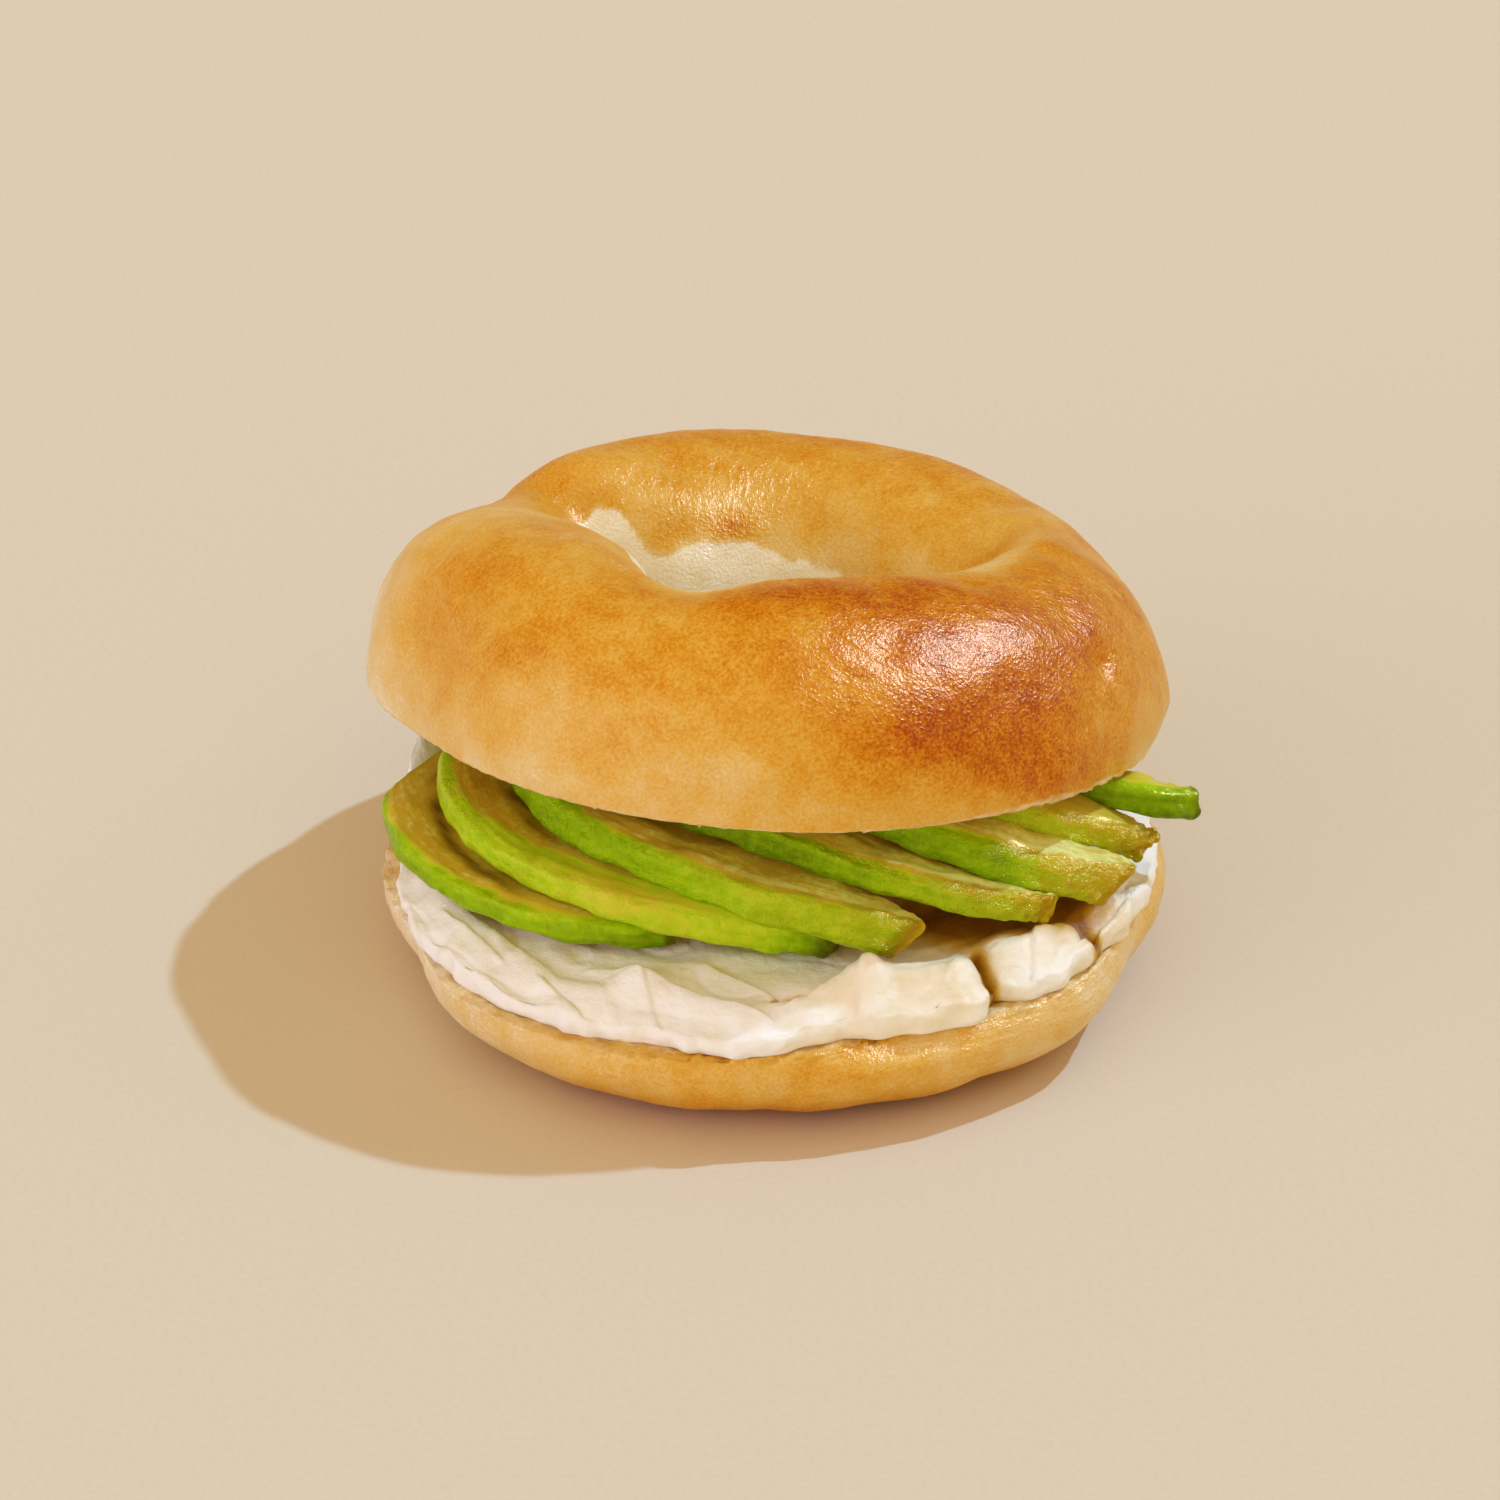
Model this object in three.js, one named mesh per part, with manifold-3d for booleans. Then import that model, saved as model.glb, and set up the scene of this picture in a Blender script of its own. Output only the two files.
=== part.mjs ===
// A cut bagel sandwich: heel, cream cheese, a fan of seven avocado slices, and the crown on top,
// tilted back by the fan. Millimetres, +Z up; the origin is under the middle of the whole.
// Azimuths are in degrees seen from above: 0 is right (+X), 90 back (+Y), 180 left, 270 front.
import * as THREE from "three";
import { mergeVertices } from "three/addons/utils/BufferGeometryUtils.js";
import Module from "manifold-3d";

const wasm = await Module();
wasm.setup();

const DEGREE = Math.PI / 180;

// Clearance left between pieces that touch, and the finest detail kept where they cross.
const GAP = 0.3;
const TOLERANCE = 0.04;

// Where the table under the middle of the whole is, seen from the middle of the heel's hole.
const MIDDLE = { x: 0.47, y: 5.14 };

// A swell is [azimuth, half width in degrees, amount in millimetres].
// Crown: a ring cut flat underneath. Its section is a rounded arch that is widest at the belly.
const CROWN = {
  at: [-1.5, 6, 33],
  tiltBack: 12.8,
  tiltRight: 3.4,
  centreRadius: 35.4,
  halfWidth: 18.1,
  height: 27.8,
  belly: 5.5,
  under: 15,
  roundness: 2.25,
  outerSwells: [[0, 18, 0.9], [30, 40, -0.5], [180, 22, 0.6], [202, 18, -2.9], [220, 22, -1.9],
    [270, 40, -0.8], [303, 18, -1.3], [331, 18, -1.6]],
  innerSwells: [[148, 14, -9], [192, 21, 4.2], [240, 13, -4.5], [285, 30, 1], [352, 28, -5]],
  heightSwells: [[95, 35, 1.6], [60, 16, 0.9], [140, 14, 0.9], [160, 24, -3.6], [25, 30, -1.2],
    [247, 18, -2.8], [325, 16, -1.2]],
  roundnessSwells: [[5, 22, -0.7], [150, 22, -0.6]],
  // How far the outer cut edge curls up.
  curlSwells: [[235, 25, 0.4], [318, 30, 0.7]],
  curlPart: 0.2,
  azimuthSteps: 84,
  sectionSteps: 19,
};

// The crease where the two ends of the rolled dough were pressed together.
const SEAM = { azimuth: 147, halfWidth: 5, depth: 2.2, pinch: 1.2 };

// Heel: the lower part of the ring, cut flat on top and flattened where it baked on the tray.
const HEEL = {
  centreRadius: 34.6,
  outerHalfWidth: 17.1,
  innerHalfWidth: 17.5,
  cutHeight: 14,
  cutSlope: 0.035,
  belly: 11,
  rise: 14,
  flatDepth: 0.8,
  roundness: 1.9,
  outerSwells: [[180, 12, 1.2], [200, 9, -1.2], [222, 14, 0.9], [277, 26, -1.7], [321, 10, 0.9],
    [340, 9, -1.4], [2, 12, 1.2]],
  riseSwells: [[290, 17, -8.5]],
  azimuthSteps: 80,
  sectionSteps: 12,
};

// Cream cheese: a ring spread on the heel's cut face, thick, with the strokes and breaks of a knife.
const CREAM = {
  innerRadius: 17.5,
  outerRadius: 51,
  thickness: 4.9,
  edgeThickness: 2.6,
  edgeSwells: [[182, 8, -0.6], [233, 5, -0.9], [250, 8, -2.4], [281, 14, -3.6], [306, 3, -3.4],
    [345, 20, 0.3], [90, 60, -0.8]],
  azimuthSteps: 100,
  azimuthCrowding: 20,
  topSteps: 12,
};

// A stroke is a ridge, or a groove if its height is negative, from one point to another:
// [x, y, x, y, half width, height].
const STROKES = [
  [12, -40.5, 23.5, -39.6, 3.4, 2.3], [13, -44.2, 22, -43, 2.6, 1.1], [29.5, -33.6, 37.5, -31, 3.2, 1.9],
  [26, -35, 28.4, -41, 1.5, -2.6], [41, -24, 46, -21, 3, 1.6], [48, -18, 50, -12, 2.4, 1.4],
  [39.6, -27.4, 43, -29.6, 1.6, -1.8], [2.5, -45, 12, -41, 2.1, 1.1], [-2, -42.5, 6, -40.4, 1.5, -1.5],
  [-28, -42.5, -17, -39, 3, 0.9], [-17, -39, -10, -35.5, 2.6, 0.9], [-12, -43.4, -2, -46.6, 1.5, -0.9],
  [-42, -26, -36, -34, 3, 0.8], [-34.2, -28, -33.6, -33.5, 1.5, -1], [-27.5, -31, -23, -36, 1.5, -1],
  [-46, 12, -42, 21, 4.5, 3.8], [-36, 34, -20, 44, 5, 2.6], [-16, 46, 18, 45, 5, 2.4],
  [22, 43, 40, 27, 5, 1.2], [49, -5, 47, 8, 3, 1],
];

// Avocado slices, from the lowest at the front left to the highest at the right. Each is a crescent:
// edge is the cubic curve of its outer bottom edge, widths are at its start, middle and end,
// thickness and drop (how far the inner edge hangs below the outer one) at its start and end,
// across is the azimuth from the outer to the inner edge at its start and end, and undercut is how
// much shorter its bottom is than its top.
const SLICES = [
  { edge: [[-52.7, -0.9, 19.3], [-52.2, -16.7, 19.3], [-32.8, -36.5, 19.2], [-13.5, -30.9, 18.8]],
    widths: [17, 19, 3], thickness: [5.9, 4], drop: [0, 0], across: [56, 60], undercut: 0 },
  { edge: [[-38.2, 13.8, 26.3], [-55.4, -2.7, 25.6], [-40.9, -39.2, 24.8], [8.9, -35, 19.2]],
    widths: [5, 20, 5], thickness: [6.4, 5], drop: [3, 1], across: [-20, 62], undercut: 2 },
  { edge: [[-26.1, 12.7, 27.5], [-54.7, -16.9, 31.5], [-9, -38, 26.5], [17, -38.4, 21.3]],
    widths: [5, 17, 2.5], thickness: [6.7, 5.3], drop: [4, 2], across: [-20, 56], undercut: 4 },
  { edge: [[-25.1, -12.9, 33.5], [-16.1, -28.1, 35.5], [18.9, -36.3, 24.5], [35.1, -31.7, 23]],
    widths: [5, 15, 3.5], thickness: [5.9, 3.9], drop: [5, 2], across: [50, 62], undercut: 2.5 },
  { edge: [[-12, -11.9, 33], [7, -26.6, 36], [26.8, -35.9, 28.5], [46.5, -24.3, 20.8]],
    widths: [5, 14, 2], thickness: [5.9, 5.6], drop: [5, 1], across: [60, 72], undercut: 5 },
  { edge: [[-9.8, -5.6, 31], [7.6, -21.5, 35.5], [36.5, -27.3, 33], [49.7, -16.6, 22.5]],
    widths: [5, 13, 1.5], thickness: [5.1, 4.1], drop: [4, 1], across: [65, 80], undercut: 4.5 },
  { edge: [[-5.8, 4.5, 26.5], [16.2, 4.3, 30], [45, -24.4, 32], [56, -13.2, 27.7]],
    widths: [5, 13, 1.5], thickness: [5.3, 4.4], drop: [4, 1], across: [70, 120], undercut: 1 },
];
const SLICE = {
  squareness: 6,
  fullness: 0.8,
  bevel: 0.9,
  undercutFrom: 0.75,
  leastSlant: 0.3,
  lengthSteps: 17,
  sectionSteps: 12,
};

const CRUST = { color: 0xcf8a34, roughness: 0.42, metalness: 0 };
const CRUST_PALE = { color: 0xd79a48, roughness: 0.5, metalness: 0 };
const CREAM_WHITE = { color: 0xf0e8d4, roughness: 0.5, metalness: 0 };
const AVOCADO_GREEN = { color: 0x8fa81f, roughness: 0.45, metalness: 0 };

// 1 at the azimuth named, falling to nothing on both sides as a bell curve.
function bell(azimuth, at, halfWidth) {
  const away = THREE.MathUtils.euclideanModulo(azimuth - at + 180, 360) - 180;
  return Math.exp(-((away / halfWidth) ** 2));
}

function swelled(base, swells, azimuth) {
  return swells.reduce((sum, [at, halfWidth, amount]) => sum + amount * bell(azimuth, at, halfWidth), base);
}

// cos or sin raised to 2 / roundness with its sign kept, which squares a circle's corners.
function squared(value, roundness) {
  return Math.sign(value) * Math.abs(value) ** (2 / roundness);
}

function onAzimuth(radius, azimuth, z) {
  return new THREE.Vector3(radius * Math.cos(azimuth * DEGREE), radius * Math.sin(azimuth * DEGREE), z);
}

// A closed skin through loops of points. The loops join end to end, or each end gets a flat fan.
function skin(loops, endless) {
  const count = loops[0].length;
  const points = loops.flat();
  const faces = [];
  const spans = endless ? loops.length : loops.length - 1;
  for (let i = 0; i < spans; i++) {
    const here = i * count;
    const next = ((i + 1) % loops.length) * count;
    for (let j = 0; j < count; j++) {
      const k = (j + 1) % count;
      faces.push(here + j, next + j, next + k, here + j, next + k, here + k);
    }
  }
  if (!endless) {
    for (const [loop, first, turn] of [[loops[0], 0, 1], [loops.at(-1), (loops.length - 1) * count, -1]]) {
      const middle = loop.reduce((sum, p) => sum.add(p), new THREE.Vector3()).divideScalar(count);
      const hub = points.push(middle) - 1;
      for (let j = 0; j < count; j++) {
        const rim = [first + j, first + ((j + 1) % count)];
        faces.push(hub, ...(turn > 0 ? rim : rim.reverse()));
      }
    }
  }
  const geometry = new THREE.BufferGeometry().setFromPoints(points);
  geometry.setIndex(faces);
  return geometry;
}

// manifold-3d solid of a closed three.js geometry, and back.
function solidOf(geometry) {
  const bare = geometry.clone();
  bare.deleteAttribute("normal");
  bare.deleteAttribute("uv");
  const merged = mergeVertices(bare, 1e-3);
  const vertProperties = new Float32Array(merged.attributes.position.array);
  const triVerts = new Uint32Array(merged.index.array);
  return new wasm.Manifold(new wasm.Mesh({ numProp: 3, vertProperties, triVerts }));
}

function geometryOf(solid) {
  const { vertProperties, triVerts } = solid.getMesh();
  const geometry = new THREE.BufferGeometry();
  geometry.setAttribute("position", new THREE.BufferAttribute(new Float32Array(vertProperties), 3));
  geometry.setIndex(new THREE.BufferAttribute(new Uint32Array(triVerts), 1));
  geometry.computeVertexNormals();
  return geometry;
}

// Crown section at an azimuth, in the ring's own frame with the cut at z = 0: from the outer cut
// edge over the belly, the top and the hole's wall to the inner cut edge.
function crownSection(azimuth) {
  const outer = swelled(CROWN.halfWidth, CROWN.outerSwells, azimuth);
  const inner = swelled(CROWN.halfWidth, CROWN.innerSwells, azimuth);
  const height = swelled(CROWN.height, CROWN.heightSwells, azimuth);
  const roundness = swelled(CROWN.roundness, CROWN.roundnessSwells, azimuth);
  const curl = swelled(0, CROWN.curlSwells, azimuth);
  const start = Math.asin((CROWN.belly / CROWN.under) ** (roundness / 2));
  const points = [];
  for (let i = 0; i <= CROWN.sectionSteps; i++) {
    const part = i / CROWN.sectionSteps;
    const angle = -start + part * (Math.PI + 2 * start);
    const across = squared(Math.cos(angle), roundness);
    const lift = squared(Math.sin(angle), roundness);
    const radius = CROWN.centreRadius + across * (across > 0 ? outer : inner);
    const curled = curl * Math.max(1 - part / CROWN.curlPart, 0) ** 2;
    const z = CROWN.belly + lift * (lift > 0 ? height - CROWN.belly : CROWN.under) + curled;
    const onSeam = Math.sin(Math.PI * THREE.MathUtils.clamp((part - 0.12) / 0.8, 0, 1));
    const crease = onSeam * bell(azimuth, SEAM.azimuth, SEAM.halfWidth);
    const sink = SEAM.depth * crease * Math.abs(Math.sin(angle));
    points.push(onAzimuth(radius - SEAM.pinch * crease * Math.cos(angle), azimuth, z - sink));
  }
  return points;
}

// The whole ring in its place, lowered by a clearance.
function crownGeometry(lowered) {
  const loops = [];
  for (let i = 0; i < CROWN.azimuthSteps; i++) {
    loops.push(crownSection((360 * i) / CROWN.azimuthSteps));
  }
  const tilt = new THREE.Matrix4().makeRotationX(-CROWN.tiltBack * DEGREE);
  tilt.multiply(new THREE.Matrix4().makeRotationY(CROWN.tiltRight * DEGREE));
  tilt.setPosition(CROWN.at[0], CROWN.at[1], CROWN.at[2] - lowered);
  return skin(loops, true).applyMatrix4(tilt);
}

function heelCut(x) {
  return HEEL.cutHeight + HEEL.cutSlope * x;
}

// Angle on the heel's rounded section at which it meets the cut, at a distance along X.
function heelCutAngle(x, rise) {
  return Math.asin(((heelCut(x) - HEEL.belly) / rise) ** (HEEL.roundness / 2));
}

// Heel section at an azimuth, from the inner cut edge under the base to the outer cut edge.
function heelSection(azimuth) {
  const outer = swelled(HEEL.outerHalfWidth, HEEL.outerSwells, azimuth);
  const inner = HEEL.innerHalfWidth;
  const rise = swelled(HEEL.rise, HEEL.riseSwells, azimuth);
  const east = Math.cos(azimuth * DEGREE);
  const start = heelCutAngle((HEEL.centreRadius - inner) * east, rise);
  const end = heelCutAngle((HEEL.centreRadius + outer) * east, rise);
  const points = [];
  for (let i = 0; i <= HEEL.sectionSteps; i++) {
    const angle = Math.PI - start + (i / HEEL.sectionSteps) * (Math.PI + start + end);
    const across = squared(Math.cos(angle), HEEL.roundness);
    const lift = squared(Math.sin(angle), HEEL.roundness);
    const radius = HEEL.centreRadius + across * (across > 0 ? outer : inner);
    const z = HEEL.belly + lift * (lift > 0 ? rise : HEEL.belly + HEEL.flatDepth);
    const onCut = i === 0 || i === HEEL.sectionSteps;
    points.push(onAzimuth(radius, azimuth, onCut ? heelCut(radius * east) : Math.max(z, 0)));
  }
  return points;
}

function heelGeometry() {
  const loops = [];
  for (let i = 0; i < HEEL.azimuthSteps; i++) {
    loops.push(heelSection((360 * i) / HEEL.azimuthSteps));
  }
  return skin(loops, true);
}

// Distance of a point from the line between two others, all seen from above.
function distanceFrom(x, y, fromX, fromY, toX, toY) {
  const alongX = toX - fromX;
  const alongY = toY - fromY;
  const part = ((x - fromX) * alongX + (y - fromY) * alongY) / (alongX ** 2 + alongY ** 2);
  const nearest = THREE.MathUtils.clamp(part, 0, 1);
  return Math.hypot(x - fromX - nearest * alongX, y - fromY - nearest * alongY);
}

// Height that the knife's strokes add to the cream at a point.
function strokeHeight(x, y) {
  return STROKES.reduce((sum, [fromX, fromY, toX, toY, halfWidth, height]) => {
    const away = distanceFrom(x, y, fromX, fromY, toX, toY) / halfWidth;
    return sum + height * Math.exp(-(away ** 2));
  }, 0);
}

// Cream section at an azimuth: along the bottom to the outer edge, then back over the top.
function creamSection(azimuth) {
  const edge = swelled(CREAM.outerRadius, CREAM.edgeSwells, azimuth);
  const floorAt = (radius) => heelCut(radius * Math.cos(azimuth * DEGREE)) + GAP;
  const points = [];
  for (const radius of [CREAM.innerRadius, edge - 1]) {
    points.push(onAzimuth(radius, azimuth, floorAt(radius)));
  }
  points.push(onAzimuth(edge, azimuth, floorAt(edge) + 0.4 * CREAM.edgeThickness));
  for (let i = 0; i <= CREAM.topSteps; i++) {
    const part = i / CREAM.topSteps;
    const radius = edge - 0.5 + (CREAM.innerRadius - edge + 0.5) * part ** 1.5;
    const rounded = THREE.MathUtils.smoothstep(edge - radius, 0, 5);
    const depth = THREE.MathUtils.lerp(CREAM.edgeThickness, CREAM.thickness, rounded);
    const spot = onAzimuth(radius, azimuth, floorAt(radius) - GAP + depth);
    points.push(spot.setZ(spot.z + strokeHeight(spot.x, spot.y)));
  }
  return points;
}

// The loops stand closer together at the front, where the edge is most torn.
function creamGeometry() {
  const loops = [];
  for (let i = 0; i < CREAM.azimuthSteps; i++) {
    const turn = (360 * i) / CREAM.azimuthSteps;
    loops.push(creamSection(turn - CREAM.azimuthCrowding * Math.cos(turn * DEGREE)));
  }
  return skin(loops, true);
}

// One rounded-square loop of a slice at a part of its length, shrunk by scale about its middle and
// grown by a clearance. Where the loop runs slantwise to the curve it grows by more across.
function sliceLoop(slice, curve, part, grow, scale) {
  const [first, middle, last] = slice.widths;
  const within = THREE.MathUtils.clamp(part, 0, 1);
  const full = Math.sin(Math.PI * within) ** SLICE.fullness;
  const width = THREE.MathUtils.lerp(first, last, part) + (middle - (first + last) / 2) * full;
  const thickness = THREE.MathUtils.lerp(...slice.thickness, part);
  const drop = THREE.MathUtils.lerp(...slice.drop, part);
  const across = THREE.MathUtils.lerp(...slice.across, part) * DEGREE;
  const inward = new THREE.Vector3(Math.cos(across), Math.sin(across), 0);
  const slant = Math.max(curve.getTangent(within).cross(inward).length(), SLICE.leastSlant);
  const lean = drop / Math.max(width, 6);
  const shorter = slice.undercut * Math.max((part - SLICE.undercutFrom) / (1 - SLICE.undercutFrom), 0);
  const loop = [];
  for (let i = 0; i < SLICE.sectionSteps; i++) {
    const angle = (2 * Math.PI * (i + 0.5)) / SLICE.sectionSteps;
    const v = -squared(Math.cos(angle), SLICE.squareness) * scale * (width / 2 + grow / slant);
    const h = squared(Math.sin(angle), SLICE.squareness) * scale * (thickness / 2 + grow);
    const inwards = width / 2 + v + (thickness / 2 + h) * lean;
    const up = thickness / 2 + h - drop * (v / width + 0.5);
    const back = (shorter * THREE.MathUtils.clamp(0.5 - h / thickness, 0, 1)) / curve.getLength();
    const edge = curve.getPoint(part - back);
    loop.push(edge.addScaledVector(inward, inwards).add(new THREE.Vector3(0, 0, up)));
  }
  return loop;
}

// A slice: full loops along the curve, and a smaller one just inside each end for its bevel.
function sliceGeometry(slice, grow) {
  const curve = new THREE.CubicBezierCurve3(...slice.edge.map((p) => new THREE.Vector3(...p)));
  const bevel = SLICE.bevel / curve.getLength();
  const stretch = grow / curve.getLength();
  const loops = [sliceLoop(slice, curve, -stretch, grow, 0.75)];
  for (let i = 0; i <= SLICE.lengthSteps; i++) {
    const part = bevel + (1 - 2 * bevel) * (i / SLICE.lengthSteps);
    loops.push(sliceLoop(slice, curve, part, grow, 1));
  }
  loops.push(sliceLoop(slice, curve, 1 + stretch, grow, 0.75));
  return skin(loops, false);
}

function mesh(name, solid, look) {
  const piece = new THREE.Mesh(geometryOf(solid), new THREE.MeshStandardMaterial(look));
  piece.name = name;
  return piece;
}

const slices = SLICES.map((slice) => solidOf(sliceGeometry(slice, 0)));
const hollows = SLICES.map((slice) => solidOf(sliceGeometry(slice, GAP)));
const pressed = solidOf(crownGeometry(GAP));

// A soft slice gives way to every slice that lies on it, and bread and cream give way to them all.
// Crumbs cut loose are left out, and edges finer than the tolerance are merged.
function yieldTo(solid, others) {
  const rest = others.reduce((left, other) => left.subtract(other), solid);
  return rest.decompose().sort((a, b) => b.volume() - a.volume())[0].simplify(TOLERANCE);
}

const group = new THREE.Group();
group.position.set(-MIDDLE.x, -MIDDLE.y, 0);
group.add(mesh("bottom_half", solidOf(heelGeometry()), CRUST_PALE));
group.add(mesh("cream_cheese", yieldTo(solidOf(creamGeometry()), [...hollows, pressed]), CREAM_WHITE));
slices.forEach((solid, i) => {
  group.add(mesh(`avocado_slice_${i + 1}`, yieldTo(solid, hollows.slice(i + 1)), AVOCADO_GREEN));
});
group.add(mesh("top_half", yieldTo(solidOf(crownGeometry(0)), hollows), CRUST));

export default group;
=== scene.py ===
# %% [markdown]
# # A cut bagel with cream cheese and avocado
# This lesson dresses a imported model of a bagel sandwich. From the top down, the real one has a
# glossy crown, seven slices of avocado, a thick spread of cream cheese, and the heel of the ring.
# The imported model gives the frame. Each piece made here takes the place of one of its solids.

# %% The frame
import bpy
import numpy as np
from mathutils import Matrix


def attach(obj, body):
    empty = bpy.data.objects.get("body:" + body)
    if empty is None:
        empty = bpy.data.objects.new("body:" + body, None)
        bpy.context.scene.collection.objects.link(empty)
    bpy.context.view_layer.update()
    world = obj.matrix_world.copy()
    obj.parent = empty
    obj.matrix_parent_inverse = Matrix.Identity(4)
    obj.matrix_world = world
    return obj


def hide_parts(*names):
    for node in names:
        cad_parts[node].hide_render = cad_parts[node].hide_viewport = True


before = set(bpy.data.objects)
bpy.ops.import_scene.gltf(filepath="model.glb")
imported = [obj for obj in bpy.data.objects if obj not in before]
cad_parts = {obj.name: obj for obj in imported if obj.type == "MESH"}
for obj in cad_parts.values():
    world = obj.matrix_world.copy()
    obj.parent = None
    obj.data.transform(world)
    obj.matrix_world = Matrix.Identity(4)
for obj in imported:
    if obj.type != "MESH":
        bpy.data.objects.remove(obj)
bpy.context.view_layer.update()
print("solids:", sorted(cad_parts))

# %% [markdown]
# ## Measures and bells
# Dough is laid out best in polar measures: an azimuth round the ring, seen from above, with 0 at
# the right, 90 at the back and 270 at the front, and a part of the way over its section. A lump is
# then a bell curve in the azimuth. A table of such lumps is easier to read and to change than a
# formula for each. All shapes are worked out in millimetres from the middle of the heel's hole,
# and moved and turned into metres when they become a mesh.

# %% Millimetres, bells and rounded squares
MM = 0.001
MIDDLE = np.array([0.47, 5.14, 0.0])


def hump(away, half_width):
    """exp(-(distance / half width) squared): 1 in the middle, about a third at the half width."""
    return np.exp(-((away / half_width) ** 2))


def bell(azimuth, at, half_width):
    """A hump round the ring, 1 at one azimuth, in degrees."""
    return hump((azimuth - at + 180) % 360 - 180, half_width)


def swelled(base, swells, azimuth):
    """A base measure plus one bell for each (azimuth, half width, amount)."""
    return base + sum(amount * bell(azimuth, at, half) for at, half, amount in swells)


def spotted(base, spots, azimuth, part):
    """A base plus a bell round the ring times a hump over the section for each spot:
    (azimuth, half width, part, half part, amount)."""
    return base + sum(amount * bell(azimuth, at, half) * hump(part - over, half_part)
                      for at, half, over, half_part, amount in spots)


def squared(value, roundness):
    """cos or sin to the power 2 / roundness with its sign kept: squares a circle's corners."""
    return np.sign(value) * np.abs(value) ** (2 / roundness)


def smooth(value, low, high):
    """0 below low, 1 above high, and 3t^2 - 2t^3 in between."""
    t = np.clip((value - low) / (high - low), 0, 1)
    return t * t * (3 - 2 * t)


def on_ring(radius, azimuth, z):
    """A point at a radius and azimuth."""
    turn = np.radians(azimuth)
    return np.stack([radius * np.cos(turn), radius * np.sin(turn), z + 0 * turn], -1)


print("the middle of the heel's hole lies at", -MIDDLE, "mm in the frame")

# %% [markdown]
# ## Unevenness
# Nothing that is baked or spread is even. A sum of plane waves in random directions is a smooth
# random field that can be read at any point of a surface, so one function serves every piece. The
# length of the waves is the size of the lumps, and the seed is fixed so that each run is the same.

# %% A smooth random field
def unevenness(points, size, seed, waves=28):
    """Sum of cosines of (direction . point * 2 pi / length + phase), about -1 to 1.
    The lengths run from 0.7 to 1.6 times size. The points may hold stretched measures."""
    pick = np.random.default_rng(seed)
    directions = pick.normal(size=(waves, points.shape[-1]))
    directions /= np.linalg.norm(directions, axis=1, keepdims=True)
    turns = 2 * np.pi / (size * pick.uniform(0.7, 1.6, waves))
    phases = pick.uniform(0, 2 * np.pi, waves)
    total = np.zeros(points.shape[:-1])
    for direction, turn, phase in zip(directions, turns, phases):
        total += np.cos(points @ (direction * turn) + phase)
    return total / np.sqrt(waves / 2) / 1.6


def layered(points, layers):
    """Sum of amount * unevenness for each (amount, size, seed)."""
    return sum(amount * unevenness(points, size, seed) for amount, size, seed in layers)


sample = unevenness(np.linspace(0, 100, 300).reshape(100, 3), 10, 0)
print(f"a sample of unevenness: {sample.min():.2f} to {sample.max():.2f}")

# %% [markdown]
# ## From a grid to a mesh
# Every piece is a grid of points: loops laid side by side, each going once round a section. A ring
# of dough joins its last loop to its first. A slice of avocado doesn't, so each end closes in a
# fan. Relief moves the points along the surface's own normals, which are cross products on the
# grid.

# %% Normals, relief and the mesh itself
def outward(points, endless):
    """Cross product of the steps along the loops and round them, made one long."""
    if endless:
        along = np.roll(points, -1, 0) - np.roll(points, 1, 0)
    else:
        along = np.gradient(points, axis=0)
    normal = np.cross(along, np.roll(points, -1, 1) - np.roll(points, 1, 1))
    return normal / (np.linalg.norm(normal, axis=-1, keepdims=True) + 1e-9)


def skin(name, points, endless, marks):
    """A closed mesh through loops of points, in metres, with each mark stored at its vertices."""
    loops, around = points.shape[:2]
    index = np.arange(loops * around).reshape(loops, around)
    onward = np.roll(index, -1, 0) if endless else index[1:]
    here = index if endless else index[:-1]
    quads = np.stack([here, onward, np.roll(onward, -1, 1), np.roll(here, -1, 1)], -1)
    faces = quads.reshape(-1, 4).tolist()
    spots = points.reshape(-1, 3)
    if not endless:
        spots = np.vstack([spots, points[0].mean(0), points[-1].mean(0)])
        for rim, hub, turn in ((index[0], len(spots) - 2, 1), (index[-1], len(spots) - 1, -1)):
            faces += [[hub, *pair[::turn]] for pair in zip(rim.tolist(), np.roll(rim, -1).tolist())]
    mesh = bpy.data.meshes.new(name)
    mesh.from_pydata(((spots - MIDDLE) * MM).tolist(), [], faces)
    for mark, values in marks.items():
        values = values.reshape(loops * around, -1)
        if not endless:
            ends = values.reshape(loops, around, -1)[[0, -1]].mean(1)
            values = np.vstack([values, ends])
        kind = "FLOAT" if values.shape[1] == 1 else "FLOAT_VECTOR"
        stored = mesh.attributes.new(mark, kind, "POINT")
        stored.data.foreach_set("value" if kind == "FLOAT" else "vector", values.ravel())
    mesh.polygons.foreach_set("use_smooth", [True] * len(mesh.polygons))
    piece = bpy.data.objects.new(name, mesh)
    bpy.context.scene.collection.objects.link(piece)
    size = (spots.max(0) - spots.min(0)).round(1)
    print(f"{name}: {len(mesh.polygons)} faces, {size[0]} x {size[1]} x {size[2]} mm")
    return piece


# %% [markdown]
# ## The crown
# The crown is the top of a ring of boiled and baked dough, cut off flat. It is lumpy: the roll was
# thicker in places, its two ends were pressed together in a crease, and the hole closed to a slit
# at the front. Its section is a rounded arch, a superellipse that is widest at the belly, and
# bells in the azimuth change its width and height round the ring. The fan of slices tilts it back.

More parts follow.
